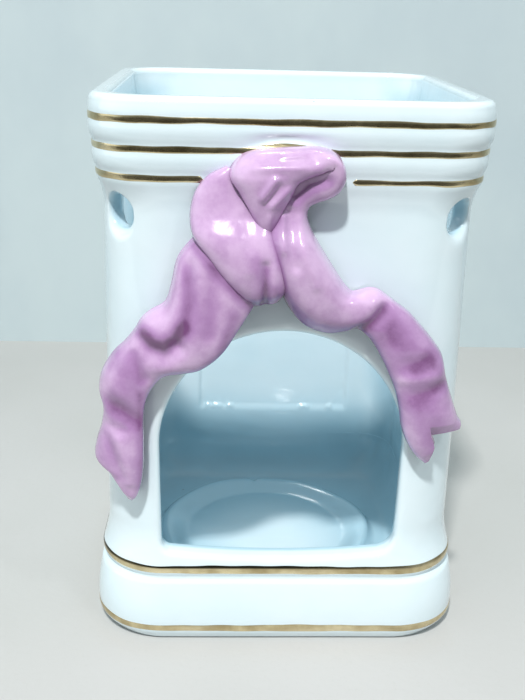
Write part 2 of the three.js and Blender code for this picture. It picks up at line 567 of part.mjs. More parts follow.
// One strip as a solid, all its faces moved out by grow. Its front is crowned between thick edges,
// its back lies close to the wall, and a free end thins over its last steps.
function ribbonStrip({ stations, folds, freeEnd }, grow = 0) {
  const value = (pick, t) => through(stations.map(pick), t);
  const edge = (name, t) => new THREE.Vector2(value((s) => s[name][0], t), value((s) => s[name][1], t));
  const spans = stations.length - 1;
  const middle = (t) => edge("a", t).add(edge("b", t)).multiplyScalar(1 / 2);
  let length = 0;
  for (let k = 0; k < spans; k++) length += middle(k).distanceTo(middle(k + 1));
  const count = Math.ceil(length / RIBBON_STEP);
  const rings = [];
  for (let k = 0; k <= count; k++) {
    const t = k / count * spans;
    const [a, b] = [edge("a", t), edge("b", t)];
    const out = b.clone().sub(a).normalize().multiplyScalar(grow);
    a.sub(out);
    b.add(out);
    const crown = value((s) => s.crown, t) - RIBBON_EDGE_HEIGHT;
    const drawn = freeEnd ? Math.min(1, mix(RIBBON_END_FULLNESS, 1, (count - k) / 2)) : 1;
    const ring = [];
    for (let i = 0; i <= RIBBON_ACROSS; i++) {
      const u = (1 - Math.cos(i / RIBBON_ACROSS * Math.PI)) / 2;
      const full = drawn * Math.sqrt(1 - Math.abs(2 * u - 1) ** RIBBON_FULLNESS);
      const [x, z] = [mix(a.x, b.x, u), mix(a.y, b.y, u)];
      const height = RIBBON_EDGE_HEIGHT + full * (crown + foldHeight(folds, x, z)) + grow;
      ring.push([x, drape(x) - WALL_HALF_WIDTH - height, z]);
    }
    for (let i = RIBBON_BACK_STEPS; i >= 0; i--) {
      const u = mix(RIBBON_BACK_INSET, 1 - RIBBON_BACK_INSET, i / RIBBON_BACK_STEPS);
      const x = mix(a.x, b.x, u);
      ring.push([x, drape(x) - WALL_HALF_WIDTH - RIBBON_BACK_HEIGHT + grow, mix(a.y, b.y, u)]);
    }
    rings.push(ring);
  }
  return loft(rings);
}

// The largest body of a cut piece
const main = (cut) => cut.decompose().reduce((best, each) => (each.volume() > best.volume() ? each : best));

// The bow: every piece is made of one strip or more, and is cut back from the porcelain and from
// the strips that lie over it
function bowPieces() {
  const skin = shell([...footLevels, ...wallLevels, ...collarLevels].filter((each) => !each.seat)
    .map(({ z, half, radius }) => level(z, half + SEAM + LINE_PROUD + LINE_CROWN, radius + SEAM)));
  const plan = {
    knot: { of: ["knot"], under: [] },
    loop: { of: ["loop"], under: ["knot"] },
    loopReturn: { of: ["loopReturn"], under: ["loop", "knot"] },
    rightStrip: { of: ["rightStrip"], under: ["knot", "loop", "loopReturn"] },
    rightTail: { of: ["rightTail"], under: ["rightStrip"] },
    leftStrip: { of: ["leftStrip", "leftRoll"], under: ["knot"] },
    leftTail: { of: ["leftTail"], under: ["leftStrip", "leftRoll"] },
  };
  const pieces = {};
  for (const [name, { of, under }] of Object.entries(plan)) {
    let piece = of.map((strip) => ribbonStrip(RIBBON[strip])).reduce((all, each) => all.add(each));
    piece = piece.subtract(skin);
    for (const cover of under) piece = piece.subtract(ribbonStrip(RIBBON[cover], SEAM));
    if (RIBBON[name].notch) piece = piece.subtract(notchCutter(RIBBON[name].notch));
    pieces[name] = main(piece);
  }
  return pieces;
}

// The cut end of a tail
function notchCutter(outline) {
  return loft([0, -2 * WALL_HALF_WIDTH].map((y) => outline.map(([x, z]) => [x, y, z])));
}

// Materials
const porcelain = { color: 0xdcecf2, roughness: 0.12, metalness: 0 };
const gilding = { color: 0xb39a55, roughness: 0.25, metalness: 1 };
const lilac = { color: 0xc79ccf, roughness: 0.18, metalness: 0 };

function mesh(name, body, finish) {
  const { vertProperties, triVerts } = body.getMesh();
  const geometry = new THREE.BufferGeometry();
  geometry.setAttribute("position", new THREE.BufferAttribute(new Float32Array(vertProperties), 3));
  geometry.setIndex(new THREE.BufferAttribute(new Uint32Array(triVerts), 1));
  geometry.computeVertexNormals();
  const part = new THREE.Mesh(geometry, new THREE.MeshStandardMaterial(finish));
  part.name = name;
  return part;
}

// Assembly
const warmer = new THREE.Group();
warmer.add(
  mesh("foot_ring", footRing(), porcelain),
  mesh("floor_dish", floorDish(), porcelain),
  mesh("tower_wall", towerWall(), porcelain),
  mesh("rim_collar", rimCollar(), porcelain),
  mesh("gilt_line_cove", rimLine(0).subtract(coveBlock(0)), gilding),
  mesh("gilt_line_middle", rimLine(1), gilding),
  mesh("gilt_line_lip", rimLine(2), gilding),
  mesh("gilt_line_foot_upper", giltLine(FOOT_HEIGHT, FOOT_NECK_HALF_WIDTH, FOOT_CORNER_RADIUS), gilding),
  mesh("gilt_line_foot_lower", giltLine(FOOT_LINE_Z, FOOT_HALF_WIDTH, FOOT_CORNER_RADIUS), gilding),
);
const bow = bowPieces();
warmer.add(
  mesh("bow_knot", bow.knot, lilac),
  mesh("bow_loop", bow.loop, lilac),
  mesh("bow_loop_return", bow.loopReturn, lilac),
  mesh("bow_right_strip", bow.rightStrip, lilac),
  mesh("bow_right_tail", bow.rightTail, lilac),
  mesh("bow_left_strip", bow.leftStrip, lilac),
  mesh("bow_left_tail", bow.leftTail, lilac),
);

// The origin is on the ground in the middle of the overall box, which the bow carries forward
const box = new THREE.Box3().setFromObject(warmer);
warmer.position.y = -(box.min.y + box.max.y) / 2;

export default warmer;
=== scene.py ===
"""A porcelain teapot warmer with gilded lines and an applied ribbon bow, dressed for its portrait.

Sizes are millimetres from the tower's own axis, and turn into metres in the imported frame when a
mesh is made.
"""

from math import cos, pi, radians, sin, sqrt

import bmesh
import bpy
import numpy as np
from mathutils import Matrix, Vector
from mathutils.bvhtree import BVHTree
from mathutils.geometry import delaunay_2d_cdt


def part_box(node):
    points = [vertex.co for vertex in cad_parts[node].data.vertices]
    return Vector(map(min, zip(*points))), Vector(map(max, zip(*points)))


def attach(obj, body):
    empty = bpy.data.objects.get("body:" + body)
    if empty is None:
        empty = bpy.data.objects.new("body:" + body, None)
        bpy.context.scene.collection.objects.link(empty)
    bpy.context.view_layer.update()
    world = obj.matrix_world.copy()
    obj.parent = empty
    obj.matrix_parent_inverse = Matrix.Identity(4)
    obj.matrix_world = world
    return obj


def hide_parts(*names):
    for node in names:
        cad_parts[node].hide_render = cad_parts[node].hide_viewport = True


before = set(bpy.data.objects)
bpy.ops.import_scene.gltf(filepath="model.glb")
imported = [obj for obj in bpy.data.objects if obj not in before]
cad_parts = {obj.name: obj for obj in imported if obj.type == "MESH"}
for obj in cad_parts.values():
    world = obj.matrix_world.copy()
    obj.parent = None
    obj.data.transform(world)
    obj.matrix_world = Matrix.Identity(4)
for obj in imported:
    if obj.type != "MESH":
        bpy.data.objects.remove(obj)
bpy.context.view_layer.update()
MM = 0.001


# The place: the tower stands on a pale stone floor in front of a pale plastered backdrop. Both are
# only scenery: flat sheets, the floor with a faint grain, the backdrop with faint clouds.
wall_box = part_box("tower_wall")
AXIS_Y = (wall_box[0].y + wall_box[1].y) / 2 / MM
BACKDROP_Y = 176
STAGE_HALF = 1600
FLOOR_FRONT = 230


class Shade:
    """A shader value in one material: its arithmetic adds Math nodes."""

    def __init__(self, tree, socket=None):
        self.tree, self.socket = tree, socket

    def node(self, kind, settings=(), sockets=(), out=0):
        made = self.tree.nodes.new(kind)
        for name, value in dict(settings).items():
            setattr(made, name, value)
        for name, value in dict(sockets).items():
            if isinstance(value, Shade):
                self.tree.links.new(value.socket, made.inputs[name])
            else:
                made.inputs[name].default_value = value
        return Shade(self.tree, made.outputs[out])

    def output(self, which):
        """Another output of the same node."""
        return Shade(self.tree, self.socket.node.outputs[which])

    def math(self, operation, *values):
        return self.node("ShaderNodeMath", {"operation": operation}, enumerate(values))

    def __add__(self, other):
        return self.math("ADD", self, other)

    __radd__ = __add__

    def __sub__(self, other):
        return self.math("SUBTRACT", self, other)

    def __rsub__(self, other):
        return self.math("SUBTRACT", other, self)

    def __mul__(self, other):
        return self.math("MULTIPLY", self, other)

    __rmul__ = __mul__

    def between(self, low, high):
        """0 below low, 1 above high, smooth between."""
        return self.node("ShaderNodeMapRange", {"interpolation_type": "SMOOTHSTEP"},
                         {0: self, 1: low, 2: high, 3: 0.0, 4: 1.0})

    def tint(self, first, second):
        """The first colour where this value is 0, the second where it is 1."""
        return self.node("ShaderNodeMix", {"data_type": "RGBA"},
                         {0: self, 6: first, 7: second}, out=2)

    def noise(self, scale, detail=2.0, roughness=0.5, stretch=(1, 1, 1)):
        """Noise over the object, with features about 1 / scale metres across."""
        place = self.node("ShaderNodeTexCoord", out=3)
        place = self.node("ShaderNodeMapping", {},
                          {0: place, 3: tuple(scale * each for each in stretch)})
        return self.node("ShaderNodeTexNoise", {}, {"Vector": place, "Scale": 1.0,
                                                    "Detail": detail, "Roughness": roughness})

    def bump(self, distance, strength=1.0):
        return self.node("ShaderNodeBump", {},
                         {"Height": self, "Distance": distance, "Strength": strength})


def finish(name, build):
    """A material whose Principled shader's sockets are what build returns."""
    material = bpy.data.materials.new(name)
    material.use_nodes = True
    shader = material.node_tree.nodes["Principled BSDF"]
    for socket, value in build(Shade(material.node_tree)).items():
        if isinstance(value, Shade):
            material.node_tree.links.new(value.socket, shader.inputs[socket])
        else:
            shader.inputs[socket].default_value = value
    return material


def stone(shade):
    clouds = shade.noise(9, 3).between(0.35, 0.7)
    grain = shade.noise(900, 2).between(0.55, 0.75)
    colour = clouds.tint((0.52, 0.52, 0.5, 1), (0.56, 0.555, 0.54, 1))
    return {
        "Base Color": (grain * 0.25).tint(colour, (0.5, 0.5, 0.47, 1)),
        "Roughness": 0.45,
        "Normal": shade.noise(500, 3).bump(0.0002, 0.3),
    }


def plaster(shade):
    clouds = shade.noise(14, 4, 0.6, (1, 1, 0.7)).between(0.3, 0.75)
    return {
        "Base Color": clouds.tint((0.51, 0.6, 0.63, 1), (0.57, 0.66, 0.675, 1)),
        "Roughness": 0.6,
    }


def sheet(name, corners, material):
    mesh = bpy.data.meshes.new(name)
    mesh.from_pydata([Vector(corner) * MM for corner in corners], [], [range(len(corners))])
    made = bpy.data.objects.new(name, mesh)
    bpy.context.scene.collection.objects.link(made)
    mesh.materials.append(material)


def one_sided(material):
    """The material with its back side clear, so that the tower shows from behind the sheet."""
    shade = Shade(material.node_tree)
    front = Shade(shade.tree, shade.tree.nodes["Principled BSDF"].outputs[0])
    behind = shade.node("ShaderNodeNewGeometry").output("Backfacing")
    clear = shade.node("ShaderNodeBsdfTransparent")
    mixed = shade.node("ShaderNodeMixShader", {}, {0: behind, 1: front, 2: clear})
    shade.tree.links.new(mixed.socket, shade.tree.nodes["Material Output"].inputs["Surface"])
    return material


back = AXIS_Y + BACKDROP_Y
sheet("floor", [(-STAGE_HALF, -FLOOR_FRONT, 0), (STAGE_HALF, -FLOOR_FRONT, 0),
                (STAGE_HALF, STAGE_HALF, 0), (-STAGE_HALF, STAGE_HALF, 0)],
      finish("stone", stone))
sheet("backdrop", [(-STAGE_HALF, back, 0), (STAGE_HALF, back, 0), (STAGE_HALF, back, STAGE_HALF),
                   (-STAGE_HALF, back, STAGE_HALF)], one_sided(finish("plaster", plaster)))


# The camera is where the photographer's was: just in front of the tower, above its rim, looking
# down a little. Place and turn were fitted to the tower's edges.
CAMERA_PLACE = (-14.25, -250.34 + AXIS_Y, 147.75)
YAW, PITCH, ROLL = 0.0419, 0.3391, -0.027
FOCAL_PIXELS, FRAME_HEIGHT_PIXELS, SENSOR = 1000, 700, 36
ahead = Vector((sin(YAW), cos(YAW), 0))
right = Vector((cos(YAW), -sin(YAW), 0))
forward = ahead * cos(PITCH) - Vector((0, 0, sin(PITCH)))
upward = ahead * sin(PITCH) + Vector((0, 0, cos(PITCH)))
axes = (right * cos(ROLL) - upward * sin(ROLL), upward * cos(ROLL) + right * sin(ROLL), -forward)
lens = bpy.data.cameras.new("camera")
lens.lens = FOCAL_PIXELS * SENSOR / FRAME_HEIGHT_PIXELS
lens.sensor_width = SENSOR
lens.clip_start, lens.clip_end = 0.01, 20
camera = bpy.data.objects.new("camera", lens)
camera.matrix_world = (Matrix.Translation(Vector(CAMERA_PLACE) * MM)
                       @ Matrix(axes).transposed().to_4x4())
bpy.context.scene.collection.objects.link(camera)
bpy.context.scene.camera = camera


# The light: a lamp high in front, a weak one to its right for the glaze's second highlight, and the
# room, dark where the photographer stands and bright at a window to the left. Seen itself, past
# the floor's edge, the room is as pale as the backdrop.
LAMPS_AIM_Z = 70
ROOM, PHOTOGRAPHER = (0.55, 0.61, 0.64, 1), (0.15, 0.165, 0.17, 1)
CEILING, WINDOW = (0.5, 0.54, 0.56, 1), (1.3, 1.4, 1.45, 1)
BELOW, ROOM_SEEN = (0.05, 0.048, 0.04, 1), (0.58, 0.65, 0.67, 1)


def lamp(name, place, size, power, colour):
    light = bpy.data.lights.new(name, "AREA")
    light.shape, light.size, light.energy, light.color = "RECTANGLE", size[0] * MM, power, colour
    light.size_y = size[1] * MM
    made = bpy.data.objects.new(name, light)
    made.location = Vector(place) * MM
    aim = Vector((0, AXIS_Y, LAMPS_AIM_Z)) - Vector(place)
    made.rotation_euler = aim.to_track_quat("-Z", "Y").to_euler()
    bpy.context.scene.collection.objects.link(made)


lamp("key", (-112, -552, 830), (60, 50), 8.4, (1.0, 0.995, 0.985))
lamp("second", (470, -590, 830), (60, 60), 0.9, (0.98, 0.99, 1.0))
world = bpy.data.worlds.new("studio")
world.use_nodes = True
sky = Shade(world.node_tree)
direction = sky.node("ShaderNodeSeparateXYZ", {}, {0: sky.node("ShaderNodeTexCoord")})
across, behind, height = (direction.output(i) for i in range(3))
level = behind.between(-0.97, -0.6).tint(PHOTOGRAPHER, ROOM)
level = height.between(0.45, 0.9).tint(level, CEILING)
level = (0 - across).between(0.72, 0.95).tint(level, WINDOW)
level = height.between(-0.12, 0.02).tint(BELOW, level)
level = sky.node("ShaderNodeLightPath").tint(level, ROOM_SEEN)
world.node_tree.links.new(level.socket, world.node_tree.nodes["Background"].inputs["Color"])
bpy.context.scene.world = world
bpy.context.scene.view_settings.view_transform = "Standard"


# The foot: a hollow plinth, one slip-cast porcelain body with the wall and collar under a clear
# glaze. The plan is a rounded square at every height, measured round as SIDE millimetres either
# way from each side's middle and ARC round a corner, and the side is one moulded profile.
SIDE = 27.8
ARC = 22.0
QUARTER = 2 * SIDE + ARC
ROUND = 4 * QUARTER
PLACES = 24
FOOT_TOP = 18.85
WALL_TOP = 111.85
FOOT_CORNER, WALL_CORNER, RIM_CORNER = 16, 14, 12
BORE_HALF, BORE_TOP_HALF, MOUTH_HALF, BORE_CORNER = 37.6, 37.1, 39.2, 9.8
PROFILE_STEP, PROFILE_WINDOW, PROFILE_SOFTNESS = 0.12, 12, 0.45
LINE_HEIGHT = 1.4
LINE_Z = {"foot_lower": 3.0, "foot_upper": 18.0, "cove": 111.0, "middle": 117.05, "lip": 123.1}
BAND_TOP = {"x": -1.5, "half": 11.0, "reach": 4.2, "up": 1.2, "out": 1.15, "lean": 1.3}
UNEVEN = 0.09
SHARP_ANGLE = radians(50)
# Painted shade, in metres: how far from a corner's centre the bore and a vent's inside end, the
# heights and places between which the bore is painted in shade, and the vents' heights.
BORE_ENDS, VENT_ENDS = (0.0108 ** 2, 0.0122 ** 2), (0.0112 ** 2, 0.0132 ** 2)
SHADE_LOW_IN_BORE, SHADE_ON_BORE_SIDES, SHADE_LESS_ON_DISH = (0.02, 0.037), (0.027, 0.036), (0.007, 0.027)
VENT_FROM, VENT_TO, VENT_OFF_SIDE = (0.098, 0.1005), (0.1065, 0.109), (0, 0.004)


def run(*stops, steps):
    """Levels (height, half width, corner radius) from stop to stop. A stop's fourth number is the
    bulge of the span that ends there."""
    levels = [stops[0][:3]]
    for low, high in zip(stops, stops[1:]):
        for i in range(1, steps + 1):
            t = i / steps
            level = np.array(low[:3]) * (1 - t) + np.array(high[:3]) * t
            level[1] += 4 * t * (1 - t) * high[3]
            levels.append(tuple(level))
    return levels


def softened(levels):
    """The same levels with their corners rounded off, as glaze fills and softens them."""
    path = np.array(levels)
    along = np.concatenate([[0], np.cumsum(np.hypot(*np.diff(path[:, :2], axis=0).T))])
    fine = np.linspace(0, along[-1], int(along[-1] / PROFILE_STEP))
    path = np.stack([np.interp(fine, along, column) for column in path.T], 1)
    n = PROFILE_WINDOW
    weights = np.exp(-(np.arange(-n, n + 1) * PROFILE_STEP / PROFILE_SOFTNESS) ** 2)
    weights /= weights.sum()
    padded = np.concatenate([2 * path[0] - path[n:0:-1], path,
                             2 * path[-1] - path[-2:-n - 2:-1]])
    return np.stack([np.convolve(column, weights, "valid") for column in padded.T], 1)


outside = softened(run(
    (1.2, 43.9, FOOT_CORNER), (3.0, 44.75, FOOT_CORNER, 0.1), (4.5, 44.85, FOOT_CORNER, 0),
    (15.6, 43.75, FOOT_CORNER, 0.4), (17.7, 43.4, FOOT_CORNER, -0.75),
    (19.7, 43.5, FOOT_CORNER, 0), (30.2, 41.8, WALL_CORNER, -0.45), (104.2, 41.3, WALL_CORNER, 0),
    (110.7, 42.5, RIM_CORNER, -0.3), (112.6, 42.55, RIM_CORNER, 0),
    (116.9, 43.15, RIM_CORNER, 0.35), (118.7, 43.2, RIM_CORNER, 0),
    (122.9, 43.75, RIM_CORNER, 0.35), (125.0, 43.8, RIM_CORNER, 0),
    (126.9, 43.6, RIM_CORNER, 0.05), steps=40))
inside = np.array([(5.3, BORE_HALF, BORE_CORNER), (30.2, BORE_HALF, BORE_CORNER),
                   (104.2, BORE_TOP_HALF, BORE_CORNER), (WALL_TOP, BORE_TOP_HALF, BORE_CORNER),
                   (126.5, MOUTH_HALF, BORE_CORNER)])


def level_of(side, z):
    """Half width and corner radius of a profile at a height."""
    return np.interp(z, side[:, 0], side[:, 1]), np.interp(z, side[:, 0], side[:, 2])


def uneven(u, z):
    """The cast skin is never quite true."""
    turn = 2 * pi * u / ROUND
    return -UNEVEN * (1 + np.sin(3 * turn + z / 17) * np.cos(z / 23 + 2 * turn)) / 1.2


def ride_over_bow(x, y, z):
    """The second band rides up a little over the top of the bow."""
    bell = lambda t: np.where(np.abs(t) < 1, (1 - t**2) ** 2, 0)
    lift = bell((x - BAND_TOP["x"]) / BAND_TOP["half"])
    lift = lift * bell((z - LINE_Z["middle"] - LINE_HEIGHT / 2) / BAND_TOP["reach"]) * (y < 0)
    lean = (z - LINE_Z["middle"]) / LINE_HEIGHT - 0.5
    return x, y - (BAND_TOP["out"] - BAND_TOP["lean"] * lean) * lift, z + BAND_TOP["up"] * lift


def around(u, half, radius, z):
    """Points on the rounded square, u millimetres round it from the middle of the front."""
    u, half, radius, z = np.broadcast_arrays(*(np.asarray(v, float) for v in (u, half, radius, z)))
    side = np.floor((u + SIDE) / QUARTER)
    v = u - side * QUARTER
    straight = half - radius
    angle = np.clip((v - SIDE) / ARC, 0, 1) * pi / 2
    along = np.where(v <= SIDE, v / SIDE * straight, straight + radius * np.sin(angle))
    off = np.where(v <= SIDE, half, straight + radius * np.cos(angle))
    c, s = np.cos(side * pi / 2), np.sin(side * pi / 2)
    return along * c + off * s, along * s - off * c, z


COLUMNS = []
for start in (quarter * QUARTER - SIDE for quarter in range(4)):
    COLUMNS.append(start + np.linspace(0, 2 * SIDE, PLACES, endpoint=False))
    COLUMNS.append(start + 2 * SIDE + np.linspace(0, ARC, PLACES, endpoint=False))
COLUMNS = np.concatenate(COLUMNS)


def piece(name, points, faces, material, slot, *nodes):
    """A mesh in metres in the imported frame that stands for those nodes."""
    place = (np.asarray(points, float) + (0, AXIS_Y, 0)) * MM
    mesh = bpy.data.meshes.new(name)
    mesh.from_pydata([tuple(p) for p in place], [], [tuple(int(i) for i in f) for f in faces])
    net = bmesh.new()
    net.from_mesh(mesh)
    bmesh.ops.recalc_face_normals(net, faces=net.faces)
    net.to_mesh(mesh)
    net.free()
    mesh.shade_smooth()
    mesh.set_sharp_from_angle(angle=SHARP_ANGLE)
    mesh.materials.append(material)
    made = bpy.data.objects.new(name, mesh)
    bpy.context.scene.collection.objects.link(made)
    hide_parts(*nodes)
    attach(made, "root")
    return made


def grid(rows, closed_up=False):
    """Points and faces of rows of points, each row running round and closing on itself."""
    rows = np.asarray(rows, float)
    count, across = rows.shape[:2]
    faces = []
    for k in range(count if closed_up else count - 1):
        low, high = k * across, (k + 1) % count * across
        for i in range(across):
            j = (i + 1) % across
            faces.append((low + i, low + j, high + j, high + i))
    return rows.reshape(-1, 3), faces


def ring(levels):
    """A closed band round the tower from the levels of its section."""
    rows = []
    for z, half, radius in levels:
        x, y, zz = around(COLUMNS, half + uneven(COLUMNS, z), radius, z)
        rows.append(np.stack(ride_over_bow(x, y, zz), 1))
    return grid(rows, closed_up=True)


def porcelain(shade):
    """Clear glaze over a pale body. Shade is painted in blue low in the bore, much less on the
    dish, on the bore's side walls and inside the vents.
    """
    pooled = shade.noise(55, 2).between(0.3, 0.7)
    place = shade.node("ShaderNodeTexCoord", out=3)
    speck = shade.node("ShaderNodeTexVoronoi", {}, {"Vector": place, "Scale": 75.0})
    colour = pooled.tint((0.73, 0.865, 0.91, 1), (0.77, 0.885, 0.925, 1))
    apart = shade.node("ShaderNodeSeparateXYZ", {}, {0: place})
    off_x, off_y = (each.math("ABSOLUTE", each) for each in (apart, apart.output(1) - AXIS_Y * MM))
    over_x, over_y = (off_x.math("MAXIMUM", off - SIDE * MM, 0) for off in (off_x, off_y))
    from_corner = over_x * over_x + over_y * over_y
    # Painted shade: a deeper blue low in the bore, much less on the dish, and on the bore's side
    # walls.
    low = 1 - apart.output(2).between(*SHADE_LOW_IN_BORE)
    sides = off_x.between(*SHADE_ON_BORE_SIDES) * 0.72
    off_dish = shade.node("ShaderNodeVectorMath", {"operation": "LENGTH"}, {0: place}, out=1)
    dish = 1 - off_dish.between(*SHADE_LESS_ON_DISH)
    deep = low.math("MAXIMUM", low * (0.86 - dish * 0.8), sides)
    colour = ((1 - from_corner.between(*BORE_ENDS)) * deep).tint(colour, (0.4, 0.62, 0.72, 1))
    # Painted shade inside the vents.
    vent_shade = apart.output(2).between(*VENT_FROM) * (1 - apart.output(2).between(*VENT_TO))
    vent_shade = vent_shade * over_x.between(*VENT_OFF_SIDE) * over_y.between(*VENT_OFF_SIDE)
    vent_shade = vent_shade * (1 - from_corner.between(*VENT_ENDS))
    colour = vent_shade.tint(colour, (0.46, 0.64, 0.73, 1))
    return {
        "Base Color": ((1 - speck.between(0.018, 0.028)) * 0.6).tint(colour, (0.3, 0.34, 0.38, 1)),
        "Roughness": shade.noise(30, 2) * 0.08 + 0.08,
        "Coat Weight": 0.65,
        "Coat Roughness": 0.03,
        "Normal": shade.noise(110, 2).bump(0.0006, 0.35),
    }


PORCELAIN = finish("porcelain", porcelain)

foot_toe = [(0.0, 42.2, 15), (0.12, 43.0, 15.6), (0.55, 43.55, 15.9)]
foot_side = [level for level in outside[::3] if level[0] <= FOOT_TOP]
foot_bore = [(FOOT_TOP, 43.45, FOOT_CORNER), (FOOT_TOP, BORE_HALF, BORE_CORNER),
             (12, BORE_HALF, BORE_CORNER), (3.2, BORE_HALF, BORE_CORNER)]
foot_ledge = [(2.6, 37.4, 9.6), (2.6, 34.8, 7), (2.3, 34.4, 6.6), (0.4, 34.4, 6.6), (0.05, 35, 7)]
piece("foot", *ring(foot_toe + foot_side + foot_bore + foot_ledge), PORCELAIN, "porcelain",
      "foot_ring")


# The collar: three stepped bands and a rounded lip, thrown out over the wall to hold a pot's base.
# It is cast in the same mould and porcelain as the wall and runs into it at the cove.
RIM_TOP, LIP_HALF = 128.5, 43.6
LIP_OUTER, LIP_INNER, LIP_STEPS, MOUTH_FROM = 1.6, 1.5, 8, 126.4
collar_side = [(WALL_TOP, *level_of(outside, WALL_TOP))]
collar_side += [level for level in outside[::3] if level[0] > WALL_TOP + 0.1]
lip = [(RIM_TOP - LIP_OUTER * (1 - sin(a)), LIP_HALF - LIP_OUTER * (1 - cos(a)),
        RIM_CORNER - LIP_OUTER * (1 - cos(a))) for a in np.linspace(0, pi / 2, LIP_STEPS)]
lip += [(RIM_TOP - LIP_INNER * (1 - cos(a)), MOUTH_HALF + LIP_INNER * (1 - sin(a)),
         BORE_CORNER + LIP_INNER * (1 - sin(a))) for a in np.linspace(0, pi / 2, LIP_STEPS)]
bore = [(z, *level_of(inside, z)) for z in np.linspace(MOUTH_FROM, WALL_TOP, 12)]
collar = piece("collar", *ring(collar_side + lip + bore), PORCELAIN, "porcelain", "rim_collar")


# The wall: a slip-cast square tube with the arched opening cut in its front while the clay was
# soft, four round vents at its corners, and the sunk panel inside its back.
ARCH_X, ARCH_RADIUS, ARCH_SPRINGING = -0.5, 28.2, 49.9
ARCH_SILL, ARCH_SAG, JAMB_DRAW = 22.0, 1.2, 0.4
ARCH_CORNERS = {-1: 2.6, 1: 5.0}
ARCH_EDGE, INNER_EDGE = 1.5, 0.7
ARCH_STEPS, CORNER_STEPS, JAMB_STEPS, SILL_STEPS = 97, 9, 22, 44
VENT_Z, VENT_RADIUS, VENT_EASE, VENT_INNER_EASE = 104.0, 4.0, 0.45, 0.4
SCOOP_DOWN, SCOOP_IN, SCOOP_FORM, VENT_STEPS = 2.9, 2.1, 1.4, 48
PANEL_X, PANEL_HALF, PANEL_FROM, PANEL_TO, PANEL_SLOPE, PANEL_DEPTH = 1.4, 22.0, 28.6, 99, 0.8, 0.9
PANEL_SIDE = 27.6
# The panel's lower edge fades into the wall but for a few crisp places: (x, half width).
PANEL_CRISP = ((-20, 0.7), (-17.2, 1.3), (-13.2, 0.8), (9.6, 1.5), (17.6, 0.7))
PANEL_SOFT, PANEL_CRISPER = 0.28, 0.5
CLEAR_OF_LOOP, CLEAR_OF_LINE, SNAP = 0.75, 0.3, 1e-3
WELD_OFFSET, WELD_DIGITS = 0.0013, 2  # the offset keeps round numbers off the rounding's edge


def arch_outline(grow):
    """The opening in elevation, grown evenly: over the arch, down, along the sill and up."""
    radius, foot = ARCH_RADIUS + grow, ARCH_RADIUS + grow - JAMB_DRAW
    points = [(radius * cos(a), ARCH_SPRINGING + radius * sin(a))
              for a in np.linspace(0, pi, ARCH_STEPS)]
    ends = {}
    for side, corner in ARCH_CORNERS.items():
        corner = corner + grow
        middle = (side * (foot - corner), ARCH_SILL + ARCH_SAG - grow + corner)
        ends[side] = [(middle[0] + side * corner * cos(a), middle[1] - corner * sin(a))
                      for a in np.linspace(0, pi / 2, CORNER_STEPS)]

    def span(a, b, steps, sag=0.0):
        return [(a[0] + (b[0] - a[0]) * t, a[1] + (b[1] - a[1]) * t - sag * 4 * t * (1 - t))
                for t in np.arange(1, steps) / steps]

    points += span(points[-1], ends[-1][0], JAMB_STEPS) + ends[-1]
    points += span(ends[-1][-1], ends[1][-1], SILL_STEPS, ARCH_SAG) + ends[1][::-1]
    points += span(ends[1][0], points[0], JAMB_STEPS)
    return np.array(points) + (ARCH_X, 0)


def thickness(z):
    return level_of(outside, z)[0] - level_of(inside, z)[0]


def corner_radius(z, depth):
    """The corner's radius at a height and a depth in the wall's thickness."""
    radius, inner_radius = level_of(outside, z)[1], level_of(inside, z)[1]
    return radius - (radius - inner_radius) * (depth / thickness(z))


def skin(u, z, depth=0.0):
    """A point of the wall: round it, up it, and that deep into its thickness."""
    rough = uneven(u, z) * (1 - depth / thickness(z))
    return around(u, level_of(outside, z)[0] + rough - depth, corner_radius(z, depth), z)


def on_front(x, z, depth):
    """How far round the wall a place on the front lies, at that depth in the thickness."""
    radius = corner_radius(z, depth)
    straight = level_of(outside, z)[0] - depth - radius
    past = np.maximum(np.abs(x) - straight, 0)
    angle = np.arcsin(np.minimum(past / radius, 1))
    u = np.minimum(np.abs(x), straight) / straight * SIDE + angle / (pi / 2) * ARC
    return np.sign(x) * u


def arch_rings():
    """The opening's edge: rounded outside, straight through the wall, eased inside."""
    rings = []
    for a in np.linspace(0, pi / 2, 7):
        rings.append((ARCH_EDGE * (1 - sin(a)), lambda z, a=a: ARCH_EDGE * (1 - cos(a))))
    rings.append((0.0, lambda z: 0.6 * thickness(z)))
    for a in np.linspace(0, pi / 2, 5):
        rings.append((INNER_EDGE * (1 - cos(a)),
                      lambda z, a=a: thickness(z) - INNER_EDGE * (1 - sin(a))))
    made = []
    for grow, depth in rings:
        x, z = arch_outline(grow).T
        d = depth(z) + 0 * z
        made.append((on_front(x, z, d), z, d))
    return made


def vent_rings(corner):
    """A vent's mouth is a thumb's scoop below and a close round edge above."""
    middle = SIDE + ARC / 2 + corner * QUARTER
    turn = np.linspace(0, 2 * pi, VENT_STEPS, endpoint=False)
    low = np.maximum(0, -np.sin(turn)) ** SCOOP_FORM
    made = []
    stages = [(a, None) for a in np.linspace(0, pi / 2, 8)] + [(None, 0.75), (None, 1.0)]
    for a, share in stages:
        if a is None:
            wide = VENT_RADIUS + (VENT_INNER_EASE if share == 1.0 else 0.0) + 0 * turn
        else:
            wide = VENT_RADIUS + (VENT_EASE + SCOOP_DOWN * low) * (1 - sin(a))
        z = VENT_Z + wide * np.sin(turn)
        d = thickness(z) * share if a is None else (VENT_EASE + SCOOP_IN * low) * (1 - cos(a))
        u = middle + ARC * np.arcsin(wide * np.cos(turn) / corner_radius(z, d)) / (pi / 2)
        made.append((u, z, d))
    return made


